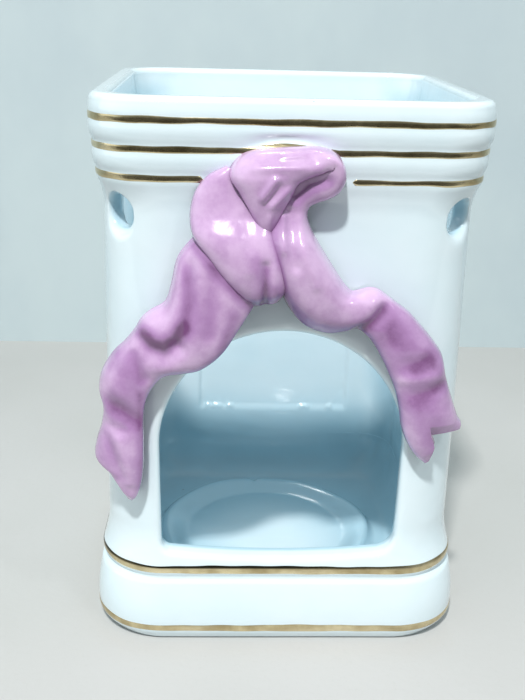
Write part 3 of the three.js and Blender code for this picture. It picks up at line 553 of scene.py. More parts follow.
def near(points, loop, reach):
    """Which points lie inside a loop or within reach of it."""
    inside_loop = np.zeros(len(points), bool)
    distance = np.full(len(points), np.inf)
    for a, b in zip(loop, np.roll(loop, -1, 0)):
        crosses = (points[:, 1] < a[1]) != (points[:, 1] < b[1])
        with np.errstate(divide="ignore", invalid="ignore"):
            x = a[0] + (points[:, 1] - a[1]) / (b[1] - a[1]) * (b[0] - a[0])
        inside_loop ^= crosses & (points[:, 0] < x)
        distance = np.minimum(distance, np.hypot(*(points - a).T))
    return inside_loop | (distance < reach)


def pierced(heights, loops, extra=()):
    """A net of triangles over the unrolled wall, with the loops left open."""
    first = COLUMNS[0] - QUARTER
    us = np.concatenate([np.sort((COLUMNS - first) % ROUND) + first, [first + ROUND]])
    field = np.array([(u, z) for z in heights for u in us])
    border = (field[:, 1] == heights[0]) | (field[:, 1] == heights[-1])
    border |= (field[:, 0] == us[0]) | (field[:, 0] == us[-1])
    drop = np.zeros(len(field), bool)
    for loop in loops:
        drop |= near(field, loop, CLEAR_OF_LOOP)
    for line in extra:
        drop |= np.array([np.hypot(*(line - p).T).min() < CLEAR_OF_LINE for p in field])
    field = field[~drop | border]
    points, edges = [tuple(p) for p in field], []
    for loop in loops:
        start = len(points)
        points += [tuple(p) for p in loop]
        edges += [(start + i, start + (i + 1) % len(loop)) for i in range(len(loop))]
    for line in extra:
        points += [tuple(p) for p in line]
    flat, _, faces, *_ = delaunay_2d_cdt([Vector(p) for p in points], edges, [], 0, 1e-6)
    flat = np.array([tuple(p) for p in flat])
    for axis, line in ((0, us[0]), (0, us[-1]), (1, heights[0]), (1, heights[-1])):
        flat[np.abs(flat[:, axis] - line) < SNAP, axis] = line
    a, b, c = (flat[np.array([f[i] for f in faces])] for i in range(3))
    area = (b[:, 0] - a[:, 0]) * (c[:, 1] - a[:, 1]) - (b[:, 1] - a[:, 1]) * (c[:, 0] - a[:, 0])
    faces = [f for f, size in zip(faces, area) if abs(size) > SNAP]
    centres = np.array([flat[list(f)].mean(0) for f in faces])
    open_ = np.zeros(len(faces), bool)
    for loop in loops:
        open_ |= near(centres, loop, 0)
    return flat, [tuple(f) for f, gone in zip(faces, open_) if not gone]


def welded(parts):
    """One net from several: points in the same place become one."""
    index, points, faces = {}, [], []
    for part_points, part_faces, flip in parts:
        found = []
        for p in part_points:
            key = tuple(np.round(np.add(p, WELD_OFFSET), WELD_DIGITS))
            if key not in index:
                index[key] = len(points)
                points.append(tuple(p))
            found.append(index[key])
        for f in part_faces:
            corners = [found[i] for i in (f[::-1] if flip else f)]
            if len(set(corners)) == len(corners):
                faces.append(corners)
    return points, faces


FLARE_END, VENTS_BEGIN = 31, 96
outer_heights = np.concatenate([
    np.linspace(FOOT_TOP, FLARE_END, 18, endpoint=False),
    np.linspace(FLARE_END, VENTS_BEGIN, 44, endpoint=False),
    np.linspace(VENTS_BEGIN, WALL_TOP, 24)])
inner_heights = np.concatenate([np.linspace(FOOT_TOP, VENTS_BEGIN, 52, endpoint=False),
                                np.linspace(VENTS_BEGIN, WALL_TOP, 14)])
edges = [arch_rings()] + [vent_rings(corner) for corner in range(-1, 3)]
panel_lines = []
for out in (-0.15, 0.15, 0.45, 0.8, 1.2, 1.7, 2.3, 2.9):
    half, low, high = PANEL_HALF + out, PANEL_FROM - out, PANEL_TO + out
    side = np.linspace(low, high, 60)
    foot = np.linspace(-half, half, 60)
    x = np.concatenate([foot, 0 * side + half, foot[::-1], 0 * side - half])
    z = np.concatenate([0 * foot + low, side, 0 * foot + high, side[::-1]])
    panel_lines.append(np.stack([2 * QUARTER - (x + PANEL_X) * SIDE / PANEL_SIDE, z], 1))


def panel_depth(u, z):
    """How deep the sunk panel lies in the back wall's inside at a place."""
    x = -(u - 2 * QUARTER) * PANEL_SIDE / SIDE - PANEL_X
    crisp = sum(np.exp(-(((x - at) / wide) ** 4)) for at, wide in PANEL_CRISP)
    under = (PANEL_FROM - z) * (PANEL_SOFT + PANEL_CRISPER * np.clip(crisp, 0, 1))
    out = np.maximum(np.abs(x) - PANEL_HALF, np.maximum(under, z - PANEL_TO))
    t = np.clip(out / PANEL_SLOPE, 0, 1)
    return PANEL_DEPTH * (1 - t * t * (3 - 2 * t))


flat, faces = pierced(outer_heights, [np.stack(rings[0][:2], 1) for rings in edges])
outer_net = (np.stack(skin(flat[:, 0], flat[:, 1]), 1), faces, False)
flat, faces = pierced(inner_heights, [np.stack(rings[-1][:2], 1) for rings in edges], panel_lines)
depth = thickness(flat[:, 1]) - panel_depth(flat[:, 0], flat[:, 1])
inner_net = (np.stack(skin(flat[:, 0], flat[:, 1], depth), 1), faces, True)
joints = [(*grid([np.stack(skin(*each), 1) for each in rings]), False) for rings in edges]
caps = []
for z in (FOOT_TOP, WALL_TOP):
    rows = [np.stack(skin(COLUMNS, z, d), 1) for d in (0.0, thickness(z))]
    caps.append((*grid(rows), z == WALL_TOP))
wall = piece("wall", *welded([outer_net, inner_net, *joints, *caps]), PORCELAIN, "porcelain",
             "tower_wall")


# The floor: a plate inside the foot with the candle's dish turned into it, a flat within a low
# round ridge. It was sponged in by hand, so the ridge is uneven and has a nick at the back.
FLOOR_UNDER, FLOOR_TOP, FLOOR_HALF, FLOOR_CORNER = 2.9, 5.3, 37.55, 9.75
COVE_IN, COVE_UP = 6.0, 14.2
DISH_X, DISH_FLAT, DISH_RISE, DISH_RIDGE, DISH_SKIRT, RIDGE_RISE = -1.8, 21.0, 0.3, 28.6, 31.4, 2.4
NICK_AT, NICK_WIDE, NICK_DEEP = 1.66, 0.03, 0.5
turn = np.linspace(0, 2 * pi, 144, endpoint=False)
nick = np.exp(-(((turn - NICK_AT) / NICK_WIDE) ** 2))


def dish_row(radius, z, hand=0.0):
    """A row round the dish, as uneven as the hand made it where hand is 1."""
    waver = hand * (0.12 * np.sin(3 * turn + 1) + 0.1 * np.sin(7 * turn) - NICK_DEEP * nick)
    return np.stack([DISH_X + (radius + 2 * waver) * np.cos(turn),
                     (radius + 2 * waver) * np.sin(turn), z + waver + 0 * turn], 1)


def plate_row(inset, z):
    """A row round the plate, set in from the foot's bore."""
    half, corner = FLOOR_HALF - inset, FLOOR_CORNER - 0.4 * inset
    fine = np.linspace(-SIDE, ROUND - SIDE, 1200, endpoint=False)
    x, y, _ = around(fine, half, corner, 0.0)
    bearing = np.arctan2(y, x - DISH_X) % (2 * pi)
    order = np.argsort(bearing)
    x, y = (np.interp(turn, bearing[order], each[order], period=2 * pi) for each in (x, y))
    return np.stack([x, y, z + 0 * turn], 1)


rows = [dish_row(r, FLOOR_TOP + DISH_RISE) for r in (0.05, 5, 10, 15, 19, DISH_FLAT)]
for t in np.linspace(0.08, 1, 14):
    rise = t * t * (3 - 2 * t)
    rows.append(dish_row(DISH_FLAT + t * (DISH_RIDGE - 0.5 - DISH_FLAT),
                         FLOOR_TOP + DISH_RISE + rise * (RIDGE_RISE - DISH_RISE), rise))
for t in np.linspace(0.1, 1, 14):
    fall = 1 - (1 - t) ** 2
    rows.append(dish_row(DISH_RIDGE + t * (DISH_SKIRT - DISH_RIDGE),
                         FLOOR_TOP + RIDGE_RISE * (1 - fall), 1 - t))
skirt, edge = rows[-1], plate_row(COVE_IN, FLOOR_TOP)
rows += [skirt * (1 - t) + edge * t for t in (0.25, 0.5, 0.75, 1.0)]
rows += [plate_row(COVE_IN * (1 - sin(a)), FLOOR_TOP + COVE_UP * (1 - cos(a)))
         for a in np.linspace(0.1, pi / 2, 18)]
rows += [plate_row(0, FLOOR_TOP + COVE_UP), plate_row(0, FLOOR_UNDER),
         plate_row(FLOOR_HALF - 0.5, FLOOR_UNDER)]
points, faces = grid(rows)
faces += [tuple(range(len(turn)))[::-1], tuple(range(len(points) - len(turn), len(points)))]
piece("floor_dish_glazed", points, faces, PORCELAIN, "porcelain", "floor_dish")


# The gilding: five lines of gold lustre painted on the glaze with a liner while the tower turned
# on a wheel, then fired. Each wavers a little in width, and is thin enough to lie in the glaze.
GILD_RISE, GILD_SINKS, GILD_WAVER, GILD_END = 0.1, -0.2, 0.055, 0.7
LOWER_EDGE_SEED, UPPER_EDGE_SEED = 1.7, 3.1
PLACES_ROUND, PLACES_KEPT = 620, 560
# Shade is painted along the upper edge of the foot's upper line, between these heights in metres.
SHADED_EDGE_FROM, SHADED_EDGE_TO = (0.0192, 0.0197), (0.03, 0.031)


def painted_edge(u, seed):
    turn = 2 * pi * u / ROUND
    wave = sum(sin(seed * k) * np.sin(k * turn + seed * k * k) for k in (2, 3, 5, 8, 13, 21, 34))
    return GILD_WAVER * wave


def gilded(name, node, z, keep=None, broad=LINE_HEIGHT):
    """A line at a height: all the way round, or only where it is kept clear of the bow."""
    columns = np.linspace(-SIDE, ROUND - SIDE, PLACES_ROUND, endpoint=False)
    if keep is not None:
        columns = np.linspace(*keep, PLACES_KEPT)
    low = z + painted_edge(columns, LOWER_EDGE_SEED + z)
    high = z + broad + painted_edge(columns, UPPER_EDGE_SEED + z)
    if keep is not None:
        end = np.clip(np.minimum(columns - keep[0], keep[1] - columns) / GILD_END, 0, 1)
        middle, reach = z + broad / 2, np.sqrt(1 - (1 - end) ** 2)
        low, high = (middle + (edge - middle) * reach for edge in (low, high))
    rows = []
    for t, out in [(0, GILD_SINKS), *((t, GILD_RISE * (1 - (2 * t - 1) ** 4))
                                      for t in np.linspace(0, 1, 9)), (1, GILD_SINKS)]:
        zz = low + (high - low) * t
        half, radius = level_of(outside, zz)
        x, y, zz = around(columns, half + uneven(columns, zz) + out, radius + out, zz)
        rows.append(np.stack(ride_over_bow(x, y, zz), 1))
    rows = np.stack(rows, 1)
    if keep is None:
        points, faces = grid(rows, closed_up=True)
    else:
        points, faces = grid(rows)
        width = rows.shape[1]
        faces += [tuple(range(width))[::-1], tuple(range(len(points) - width, len(points)))]
    return piece(name, points, faces, GOLD, "gilding", node)


def gold(shade):
    """Gold lustre with brush streaks along the line, and painted shade along the top of the foot's
    upper line, fading to the right.
    """
    thin = shade.noise(120, 3, 0.6).between(0.35, 0.7)
    streak = shade.noise(60, 3, 0.6, (1, 1, 9)).between(0.4, 0.65)
    colour = thin.tint((0.46, 0.37, 0.2, 1), (0.78, 0.67, 0.42, 1))
    at = shade.node("ShaderNodeSeparateXYZ", {}, {0: shade.node("ShaderNodeTexCoord", out=3)})
    # Painted shade along the top of the foot's upper line, strongest on the left.
    shaded_upper_edge = at.output(2).between(*SHADED_EDGE_FROM) * (1 - at.output(2).between(*SHADED_EDGE_TO))
    shade_fades_to_right = 1 - at.between(0.0, 0.03) * 0.6
    colour = (streak * 0.35).tint(colour, (0.85, 0.76, 0.54, 1))
    return {
        "Base Color": (shaded_upper_edge * shade_fades_to_right).tint(colour, (0.07, 0.06, 0.035, 1)),
        "Metallic": 1.0,
        "Roughness": shade.noise(400, 2) * 0.16 + 0.16,
        "Normal": shade.noise(260, 3).bump(0.00025, 0.5),
    }


GOLD = finish("gold_lustre", gold)
gilded("gold_foot_lower", "gilt_line_foot_lower", LINE_Z["foot_lower"] - 0.15, broad=1.8)
gilded("gold_foot_upper", "gilt_line_foot_upper", LINE_Z["foot_upper"], broad=2.1)
gilded("gold_cove", "gilt_line_cove", LINE_Z["cove"], keep=(11.3, ROUND - 17.2))
gilded("gold_middle", "gilt_line_middle", LINE_Z["middle"])
gilded("gold_lip", "gilt_line_lip", LINE_Z["lip"])


# The bow: ribbons rolled out of porcelain clay, laid on the wall wet, pinched and folded over one
# another, and painted lilac. The glaze runs thin on the crowns, and shade is painted into the
# folds.
BOW_UNIT = 0.822
BOW_FROM_Z = 111.0
EDGE_HEIGHT, BACK_HEIGHT, FULLNESS = 2.0, 0.4, 2.6
DRAPE_FROM, DRAPE_RADIUS, CUT_SPANS = 29.0, 36.0, 3.6
ACROSS, STEP, CROWDED = 44, 0.45, 0.9
EDGE_STEPS = ((0.75, -0.012), (0.45, -0.008), (0.18, 0.015))
BACK_INSET = 0.05
TAPER_CROWN, TAPER = 5, 5
FRONT = 41.8
SHADE_RAY_REACH, SHADE_RAYS, SHADE_RAY_LIFT = 4.0 * MM, 22, 0.00012
SHADE_UNDERSIDES, SHADE_LOWER_EDGES, SHADE_SMOOTHINGS = 0.35, 0.6, 3

# A station across a ribbon: its two edges (x, depth below the cove line), its crown's height off
# the wall and, where an edge is pressed against its neighbour, the edges' heights. A fold follows
# its places with a height and a width, a wash with a strength and a width. A wash deepens the
# glaze's own tone and paints shade into creases, hollows and down-facing bands; a negative one
# paints light on ridges and crowns. A cut is where across the ribbon its notch starts and is full,
# and the stations it goes back there and at the far edge. Lengths are in hundredths of the bow's
# span.
RIBBONS = {
    "knot": dict(nodes=["bow_knot"], paint=0.07, stations=[
        (-17.3, -4.6, -13.6, -3.6, 3.8), (-21.6, -2.2, -11.9, -0.5, 4.8, 2.4, 4.6),
        (-24.6, 1.6, -9.4, 3.4, 5.7, 2.6, 5.6), (-26, 7.2, -6.8, 7.6, 7.2, 3.6, 6.4),
        (-25.2, 12.7, -4.4, 12.4, 10.2, 5.4, 7.2), (-21.3, 18, -2.8, 17, 11.3, 6.6, 7.4),
        (-17.2, 23.6, -1.5, 22.4, 11.2, 6.6, 6.6), (-12.9, 28.6, -1.1, 26.3, 9.6, 5.2, 5.5),
        (-10.6, 31.1, -2.7, 29.9, 6.2, 3, 3)],
        folds=[([(-6.7, 19), (-6.8, 23), (-6.6, 30)], -1.5, 1.2),
               ([(-4.4, 19.3), (-3.9, 28)], 0.4, 1.1), ([(-12.2, 8), (-10.8, 14)], -0.5, 1.6),
               ([(-10.6, 23), (-10.2, 29)], -0.5, 1.6)],
        tone_and_shade_washes=[([(-9, 18), (-7.6, 24), (-7.4, 30)], 0.34, 2.4),
                ([(-6.8, 20), (-6.6, 30)], 0.4, 0.9), ([(-13.5, 29.6), (-6.6, 30.5)], 0.4, 1.6),
                ([(-4, 25), (-3, 30)], 0.42, 1.7), ([(-5.2, 11), (-3.2, 18)], 0.25, 1.5),
                ([(-20, 23), (-12, 31)], 0.2, 2.2), ([(-16, 3), (-18, 1)], 0.1, 4),
                ([(-14, 24), (-9, 29)], 0.2, 4)]),
    "long_run": dict(nodes=["bow_loop", "bow_loop_return", "bow_right_strip", "bow_right_tail"],
        paint=0.08, cut=(0.64, 0.53, 1.9, 1.0), stations=[
        (-8.6, 11.8, -4.6, 12, 7.6, 6, 5), (-11.1, 6.2, -2.6, 5.8, 8.8, 6, 6),
        (-13.9, 1.5, -0.8, 2.2, 9.6, 4.8, 7), (-16.4, -2.6, 0.8, -1.2, 10.2, 3.4, 7.4),
        (-14.3, -6.6, 2.9, -2.5, 10.4, 2.4, 7.6), (-10.2, -8.8, 4.8, -3.3, 10.5, 2.4, 7.6),
        (-3.6, -9.7, 6.6, -4, 10.5, 2.4, 7.8), (3, -10, 8, -4.7, 10.1, 2.4, 8),
        (6.8, -9.8, 8.9, -5.1, 9.9, 2.6, 8.8), (9.8, -8.8, 9.2, -5.5, 9.7, 3, 9.3),
        (11.9, -6.8, 9, -5.8, 9.6, 3, 9.3), (12.9, -4.2, 8.6, -5.8, 9.4, 3.4, 8.8),
        (12.8, -1.4, 7.6, -5.6, 9, 4, 7.4),
        (11.3, 1.2, 5.6, -5, 8.3, 4.4, 6.2), (8.9, 2.8, 2.8, -3.9, 7.6, 4.4, 6),
        (6.2, 3.9, -0.9, -2.8, 6.9, 3.6, 6), (4.2, 5.2, -3.4, 0.6, 6.5, 3, 6),
        (3.7, 7.6, -5.6, 5.4, 6.7, 2.6, 6.2), (4.7, 10.8, -6.4, 9.5, 8, 2.6, 6.5),
        (6.9, 14.6, -6, 13.6, 10.4, 2.6, 6.8), (10, 19.5, -4.6, 19.1, 11.2, 2.6, 6.2),
        (12.5, 23.3, -3.6, 23.5, 11.1, 2.6, 4.5), (14.4, 25.9, -2.1, 28, 10.6, 2.6, 3),
        (16.3, 27.4, 0.4, 32.6, 9.9, 2.6, 3), (18.4, 27, 4.2, 36.6, 9.2, 2.6, 3),
        (20.7, 26.4, 9.6, 38.6, 8.8, 2.8, 3), (23, 26.7, 14.2, 38.3, 8.6, 3.4, 3),
        (25.4, 28.2, 17.6, 37.3, 8.3, 4, 3), (28, 30.1, 20, 38.5, 8.1, 4.4, 3.2),
        (31.4, 32.6, 22.4, 41, 8.1, 4, 4), (35, 36.4, 24.9, 45, 8.2, 3.4, 4.4),
        (38.4, 40.4, 27.2, 49.6, 8.3, 3, 4.4), (41.5, 45, 29.3, 54.4, 8.2, 3, 4.4),
        (43.2, 51.4, 30.8, 59.8, 8.2, 3, 4.4), (45.5, 58, 31.9, 65.3, 7.9, 3, 4.2),
        (47.4, 62.8, 33.8, 70, 7.3, 3, 4), (48.7, 66.8, 36.1, 73.6, 6.5, 3, 3.6),
        (42.3, 74, 39.2, 76.8, 5)],
        folds=[([(-5, -2.6), (-8, 2)], 1.1, 1.0), ([(-1.6, 0.2), (-5.6, 4)], 1.1, 1.0),
               ([(-3.8, -1), (-7, 3)], -0.35, 0.8), ([(-5.4, 5.6), (-6, 7.6)], 0.6, 0.8),
               ([(-12, -8.4), (-4, -8.9), (4, -9.1)], -2.4, 2.7),
               ([(-11.6, -5.6), (1, -5.6)], 0.3, 0.9), ([(-3.6, -8.2), (1.8, -8.7)], 0.6, 0.8),
               ([(-11, -3.6), (-3, -3.7)], -0.2, 0.9),
               ([(-0.9, 6), (-0.4, 12), (0.6, 19)], -0.8, 1.3), ([(-2.7, 7), (-2.5, 15)], 0.7, 1),
               ([(1.9, 8), (3, 16), (6, 24)], 0.5, 1.3),
               ([(7.6, -2.6), (3.6, -1.1), (0.4, 2)], -0.9, 1.4),
               ([(0, 35), (6, 39), (14, 39.5)], -2.6, 4.0),
               ([(24.4, 30.4), (22, 33.8), (18, 37)], -1.5, 1.8),
               ([(25.6, 33), (26.6, 38)], -0.35, 3.2), ([(31.4, 45.8), (37, 44.2)], -0.7, 2.4),
               ([(29.5, 50.6), (41.2, 48.4)], 0.6, 1.5), ([(34, 54.5), (42.5, 51.6)], -0.9, 1.9),
               ([(35, 60), (37, 70)], 0.4, 2.4), ([(40, 60), (45, 61)], 0.4, 2.4)],
        tone_and_shade_washes=[([(-4.5, 8), (-2.2, 2.5), (1.5, -2.2), (6, -4.6)], 0.2, 1.4),
                ([(-14.5, 2), (-9, 10)], 0.2, 0.9),
                ([(8.4, -2.4), (3.6, -0.7), (0.4, 2.4)], 0.5, 1.8),
                ([(0, 33), (6, 37.6), (14, 37.5), (18, 36)], 0.55, 3.4),
                ([(12.8, -3), (11.6, 1.2)], 0.3, 1.6), ([(-3, 24), (0, 31)], 0.3, 2.2),
                ([(-5.6, 9), (-4.3, 15), (-2.4, 24)], 0.3, 1.2),
                ([(4, 12), (9, 20), (12, 24)], -0.16, 4),
                ([(27, 38), (33, 44), (36, 52), (39, 62), (40, 72)], 0.4, 6.5),
                ([(24.2, 30.6), (22, 34.2), (18, 37.2)], 0.5, 1.6),
                ([(25.6, 32.4), (27.4, 39)], 0.28, 3.2), ([(33.4, 46.2), (37.4, 44.6)], 0.3, 2.4),
                ([(34.6, 55.4), (41.5, 52)], 0.32, 2.2), ([(38.5, 45), (40.5, 51)], 0.3, 2.5),
                ([(31, 56), (34.6, 59)], 0.18, 2), ([(20, 27), (24.6, 28.6)], -0.2, 2.2),
                ([(29.5, 50.4), (39, 49)], -0.24, 1.3), ([(33, 66), (38, 73)], -0.2, 2.6),
                ([(40, 59), (44.6, 61)], -0.14, 2.8)]),
    "left_run": dict(nodes=["bow_left_strip", "bow_left_tail"], paint=0.1, stations=[
        (-22.1, 11.4, -6, 27, 7.3), (-25.5, 14.2, -8.6, 29.6, 8.4, 2.4, 5),
        (-29.2, 19.2, -13, 37, 9.2, 2.4, 5.4), (-30.9, 26.2, -17.6, 44.2, 9.6, 2.4, 5.4),
        (-32.6, 31, -22.9, 48.7, 9.6, 2.6, 5), (-36.4, 33.4, -27.6, 50.1, 9.4, 3, 4.4),
        (-38.8, 35.6, -31, 50.7, 9.1, 3, 4), (-40.6, 38.6, -33.4, 51.4, 8.8, 3, 4.4),
        (-43.2, 42, -35.3, 53.2, 8.5, 3, 5), (-46.6, 45.6, -36.9, 55.6, 8.5, 3, 5.4),
        (-49.6, 50.8, -38.2, 59.4, 8.3, 3, 5.8), (-50.7, 56.1, -38.6, 64, 7.9, 3, 5.8),
        (-49.7, 61.4, -38.6, 68.2, 7.8, 3, 5.8), (-50.2, 66.4, -38.7, 72.4, 7.9, 3, 5.8),
        (-51.8, 71.8, -38.8, 76.9, 7.7, 3, 5.6), (-52.3, 76.6, -39.2, 81.2, 7.2, 3, 5),
        (-49.2, 79.6, -39.9, 84.6, 6.4, 3, 4.4), (-46.2, 84, -40.8, 87.2, 5.8, 2.8, 3.6),
        (-43.7, 88.4, -42, 89.2, 4.4)],
        folds=[([(-26.2, 20), (-26.2, 30), (-27.2, 36), (-29.2, 41)], -1.3, 2.0),
               ([(-29.2, 42), (-32.4, 44), (-36, 42.4), (-38.4, 40.4)], -1.5, 2.3),
               ([(-37, 38), (-33, 37.6), (-30.4, 34)], 0.6, 2.8),
               ([(-30, 48), (-37, 47.6)], 0.4, 2.2), ([(-40.6, 44), (-38, 50.4)], -0.7, 1.8),
               ([(-20.4, 22), (-20.6, 38)], -0.5, 2.0),
               ([(-47, 58.6), (-43.4, 60.4), (-40.6, 62.4)], -1.2, 2.6),
               ([(-48.6, 65), (-44.4, 66)], -0.8, 1.8), ([(-46.6, 52), (-44.6, 55)], 0.4, 2.6),
               ([(-45, 69), (-43, 76), (-42.4, 82)], 0.7, 1.8),
               ([(-48.4, 69), (-46.2, 75), (-44.4, 80)], -0.6, 1.5)],
        tone_and_shade_washes=[([(-26.4, 22), (-26.4, 30), (-27, 36)], 0.42, 1.7),
                ([(-28, 36.6), (-29.6, 39.4), (-32.8, 41), (-35.6, 40.2), (-37.6, 38)], 0.9, 2.1),
                ([(-20.4, 20), (-20.8, 38)], 0.22, 1.8), ([(-24, 26), (-24, 40)], 0.14, 3),
                ([(-25, 15), (-17.4, 23.4), (-10.6, 30.6)], 0.5, 1.3),
                ([(-38.8, 35.6), (-35, 34.4)], -0.2, 2),
                ([(-14.6, 33), (-18.5, 45), (-25, 50.5)], 0.4, 1.4),
                ([(-41, 44), (-38.4, 50.6)], 0.3, 1.8),
                ([(-43, 50), (-45, 64), (-45, 80)], 0.14, 8),
                ([(-46, 58.8), (-42.4, 61), (-41, 63)], 0.42, 2.8),
                ([(-39.2, 55), (-39.2, 84)], 0.4, 1.2), ([(-44.4, 45), (-40.6, 53)], 0.2, 2.2),
                ([(-45.5, 55), (-46.4, 60)], 0.25, 2.8), ([(-48, 69), (-46, 75)], 0.16, 1.6),
                ([(-47.8, 52), (-46, 55)], -0.16, 3), ([(-44.4, 68), (-43, 78)], -0.14, 2)]),
}


def smooth_run(values, t):
    """A smooth curve through values at whole t."""
    values = np.asarray(values, float)
    padded = np.concatenate([[2 * values[0] - values[1]], values, [2 * values[-1] - values[-2]]])
    k = np.clip(np.floor(t).astype(int), 0, len(values) - 2)
    f = t - k
    p = [padded[k + i] for i in range(4)]
    return 0.5 * (2 * p[1] + (p[2] - p[0]) * f + (2 * p[0] - 5 * p[1] + 4 * p[2] - p[3]) * f**2
                  + (3 * p[1] - p[0] - 3 * p[2] + p[3]) * f**3)


def fold_height(folds, x, below):
    """How high the folds, or how strong the washes, are together at each place."""
    total = 0 * x
    for places, height, width in folds:
        away = np.full(x.shape, np.inf)
        for (ax, ab), (bx, bb) in zip(places, places[1:]):
            dx, db = bx - ax, bb - ab
            along = np.clip(((x - ax) * dx + (below - ab) * db) / (dx * dx + db * db), 0, 1)
            away = np.minimum(away, np.hypot(x - ax - along * dx, below - ab - along * db))
        total = total + height * np.exp(-((away / width) ** 2))
    return total


def ribbon(stations, folds, cut=None):
    """A ribbon's skin: rows of points round its section, from one end to the other."""
    edge = EDGE_HEIGHT / BOW_UNIT
    stations = np.array([(*each, edge, edge)[:7] for each in stations])
    middles = (stations[:, :2] + stations[:, 2:4]) / 2
    length = np.hypot(*np.diff(middles, axis=0).T).sum() * BOW_UNIT
    count, spans = int(length / STEP), len(stations) - 1
    u = (1 - np.cos(np.linspace(0, pi, ACROSS + 1)))[None, :] / 2
    run_to = np.full(u.shape, float(spans))
    if cut:
        start, stop, deep, far = cut
        step = np.clip((start - u) / (start - stop), 0, 1)
        step = step * step * (3 - 2 * step)
        run_to = spans - step * (deep + (far - deep) * np.clip(1 - u / stop, 0, 1))
    t = np.linspace(0, 1, count + 1)[:, None] ** CROWDED * spans + 0 * u
    late = np.clip((t - spans + CUT_SPANS) / CUT_SPANS, 0, 1)
    t = t - (spans - run_to) * late * late * (3 - 2 * late)
    ax, ab, bx, bb, crown, low_a, low_b = (smooth_run(column, t) for column in stations.T)
    full = np.sqrt(1 - np.abs(2 * u - 1) ** FULLNESS)
    if cut or stations[-1, 4] < TAPER_CROWN:
        full = full * np.clip(0.5 + (1 - t / run_to) * length / TAPER, 0, 1)
    x, below = ax + (bx - ax) * u, ab + (bb - ab) * u
    low = low_a + (low_b - low_a) * u
    height = low + full * (crown - low + fold_height(folds, x, below))
    back_at = BACK_HEIGHT / BOW_UNIT
    sides = {}
    for end, v_of in ((1, lambda inset: 1 - inset), (0, lambda inset: inset)):
        i = slice(-1, None) if end else slice(0, 1)
        sides[end] = [[(ax + (bx - ax) * v_of(inset))[:, i], (ab + (bb - ab) * v_of(inset))[:, i],
                       back_at + (low[:, i] - back_at) * share]
                      for share, inset in EDGE_STEPS]
    v = BACK_INSET + (1 - 2 * BACK_INSET) * u
    back = [(ax + (bx - ax) * v)[:, ::-1], (ab + (bb - ab) * v)[:, ::-1], 0 * x + back_at]
    parts = [[x, below, height], *sides[1], back, *sides[0][::-1]]
    x, below, height = (np.concatenate(each, 1) * BOW_UNIT for each in zip(*parts))
    drape = np.maximum(0, np.abs(x) - DRAPE_FROM) ** 2 / (2 * DRAPE_RADIUS)
    return np.stack([x, drape - FRONT - height, BOW_FROM_Z - below], 2)


def ribbon_net(rows):
    """The ribbon's points and faces, its ends closed from front to back."""
    points, faces = grid(rows)
    width, sides = rows.shape[1], len(EDGE_STEPS)
    for start, flip in ((0, False), (len(points) - width, True)):
        front = list(range(start, start + ACROSS + 1))
        back = list(range(start + ACROSS + 1 + sides, start + width - sides))[::-1]
        caps = [(front[i], front[i + 1], back[i + 1], back[i]) for i in range(ACROSS)]
        caps.append((front[-1], *range(front[-1] + 1, front[-1] + sides + 1), back[-1]))
        caps.append((back[0], *range(back[0] + 1, back[0] + sides + 1), front[0]))
        faces += [each[::-1] for each in caps] if flip else caps
    return points, faces


def lilac(shade):
    """Lilac under clear gloss: paler on the crowns, deeper in the washes, and with painted shade in
    the folds, on undersides and down lower edges.
    """
    # Painted shade: the glaze darkens where folds shut a point in, on undersides and down lower
    # edges.
    painted_crease_shade = shade.node("ShaderNodeAttribute", {"attribute_name": "crease_shade"}, out=2)
    # Washes: partly the glaze's own deeper tone, partly painted shade in creases, hollows and
    # down-facing bands; negative ones are painted light on ridges and crowns.
    wash_and_shade = shade.node("ShaderNodeAttribute", {"attribute_name": "wash_and_shade"}, out=2)
    brushed = shade.noise(240, 4, 0.65)
    cloud = shade.noise(80, 3, 0.6)
    depth = wash_and_shade + (cloud.between(0.35, 0.68) * 0.16 + brushed.between(0.3, 0.7) * 0.17 - 0.12)
    thin = depth.between(-0.1, 0.5).tint((0.66, 0.46, 0.69, 1), (0.42, 0.235, 0.465, 1))
    thick_and_shaded = depth.between(0.4, 1.05).tint(thin, (0.19, 0.075, 0.2, 1))
    return {
        "Base Color": painted_crease_shade.between(0.1, 0.8).tint(thick_and_shaded, (0.17, 0.06, 0.18, 1)),
        "Roughness": brushed * 0.08 + 0.17,
        "Coat Weight": 0.55,
        "Coat Roughness": 0.1,
        "Normal": shade.noise(420, 3).bump(0.00025, 0.3),
    }


LILAC = finish("lilac_glaze", lilac)
bow = {}
for name, plan in RIBBONS.items():
    rows = ribbon(plan["stations"], plan["folds"], plan.get("cut"))
    bow[name] = piece(f"bow_{name}_glazed", *ribbon_net(rows), LILAC, "lilac_glaze", *plan["nodes"])


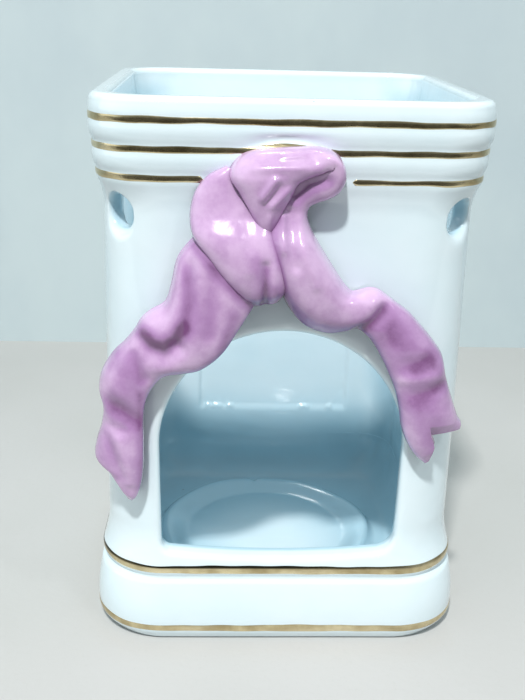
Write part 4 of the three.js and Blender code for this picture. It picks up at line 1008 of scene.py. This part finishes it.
def crease_shade(made, solids):
    """Painted shade at each point of the glaze: how shut in it is, from 0 in the open to 1 in a
    fold, with more on undersides and down steep lower edges."""
    golden = pi * (3 - sqrt(5))
    up = [((i + 0.5) / SHADE_RAYS) ** 0.5 for i in range(SHADE_RAYS)]
    fan = [Vector((sqrt(1 - h * h) * cos(golden * i), sqrt(1 - h * h) * sin(golden * i), h))
           for i, h in enumerate(up)]
    values = []
    for vertex in made.data.vertices:
        n = vertex.normal
        turn_to = n.to_track_quat("Z", "Y")
        start = vertex.co + n * SHADE_RAY_LIFT
        hits = [solids.ray_cast(start, turn_to @ ray, SHADE_RAY_REACH) for ray in fan]
        shut = sum(1 - hit[3] / SHADE_RAY_REACH for hit in hits if hit[0] is not None)
        under, steep = max(0, -n.z - 0.1), max(0, 0.5 + n.y) * max(0, 0.7 - n.z)
        values.append(shut / SHADE_RAYS + (SHADE_UNDERSIDES * under + SHADE_LOWER_EDGES * steep))
    field = np.array(values).reshape(-1, 2 * (ACROSS + 1 + len(EDGE_STEPS)))
    for _ in range(SHADE_SMOOTHINGS):
        field = (field + np.roll(field, 1, 1) + np.roll(field, -1, 1)) / 3
        field[1:-1] = (field[1:-1] + field[2:] + field[:-2]) / 3
    return field.ravel()


def washed_tone_and_shade(made, paint, tone_and_shade_washes):
    """How much deeper the colour is at each point, from 0 to 1: the ribbon's paint, and washes that
    are partly its own tone and partly painted shade and light.
    """
    co = np.array([tuple(vertex.co) for vertex in made.data.vertices]) / MM
    x, below = co[:, 0] / BOW_UNIT, (BOW_FROM_Z - co[:, 2]) / BOW_UNIT
    return np.clip(paint + fold_height(tone_and_shade_washes, x, below), 0, 1)


def painted(made, name, values):
    """Values kept on the mesh's points for the glaze to read."""
    layer = made.data.attributes.new(name, "FLOAT", "POINT")
    layer.data.foreach_set("value", np.asarray(values, np.float32))


# The painted shade in the bow's creases counts what the bow, the wall and the collar shut off round
# each point.
corners, triangles = [], []
for made in [*bow.values(), wall, collar]:
    start = len(corners)
    corners += [v.co for v in made.data.vertices]
    triangles += [[start + i for i in p.vertices] for p in made.data.polygons]
solids = BVHTree.FromPolygons(corners, triangles)
for name, made in bow.items():
    painted(made, "crease_shade", crease_shade(made, solids))
    painted(made, "wash_and_shade", washed_tone_and_shade(made, RIBBONS[name]["paint"], RIBBONS[name]["tone_and_shade_washes"]))
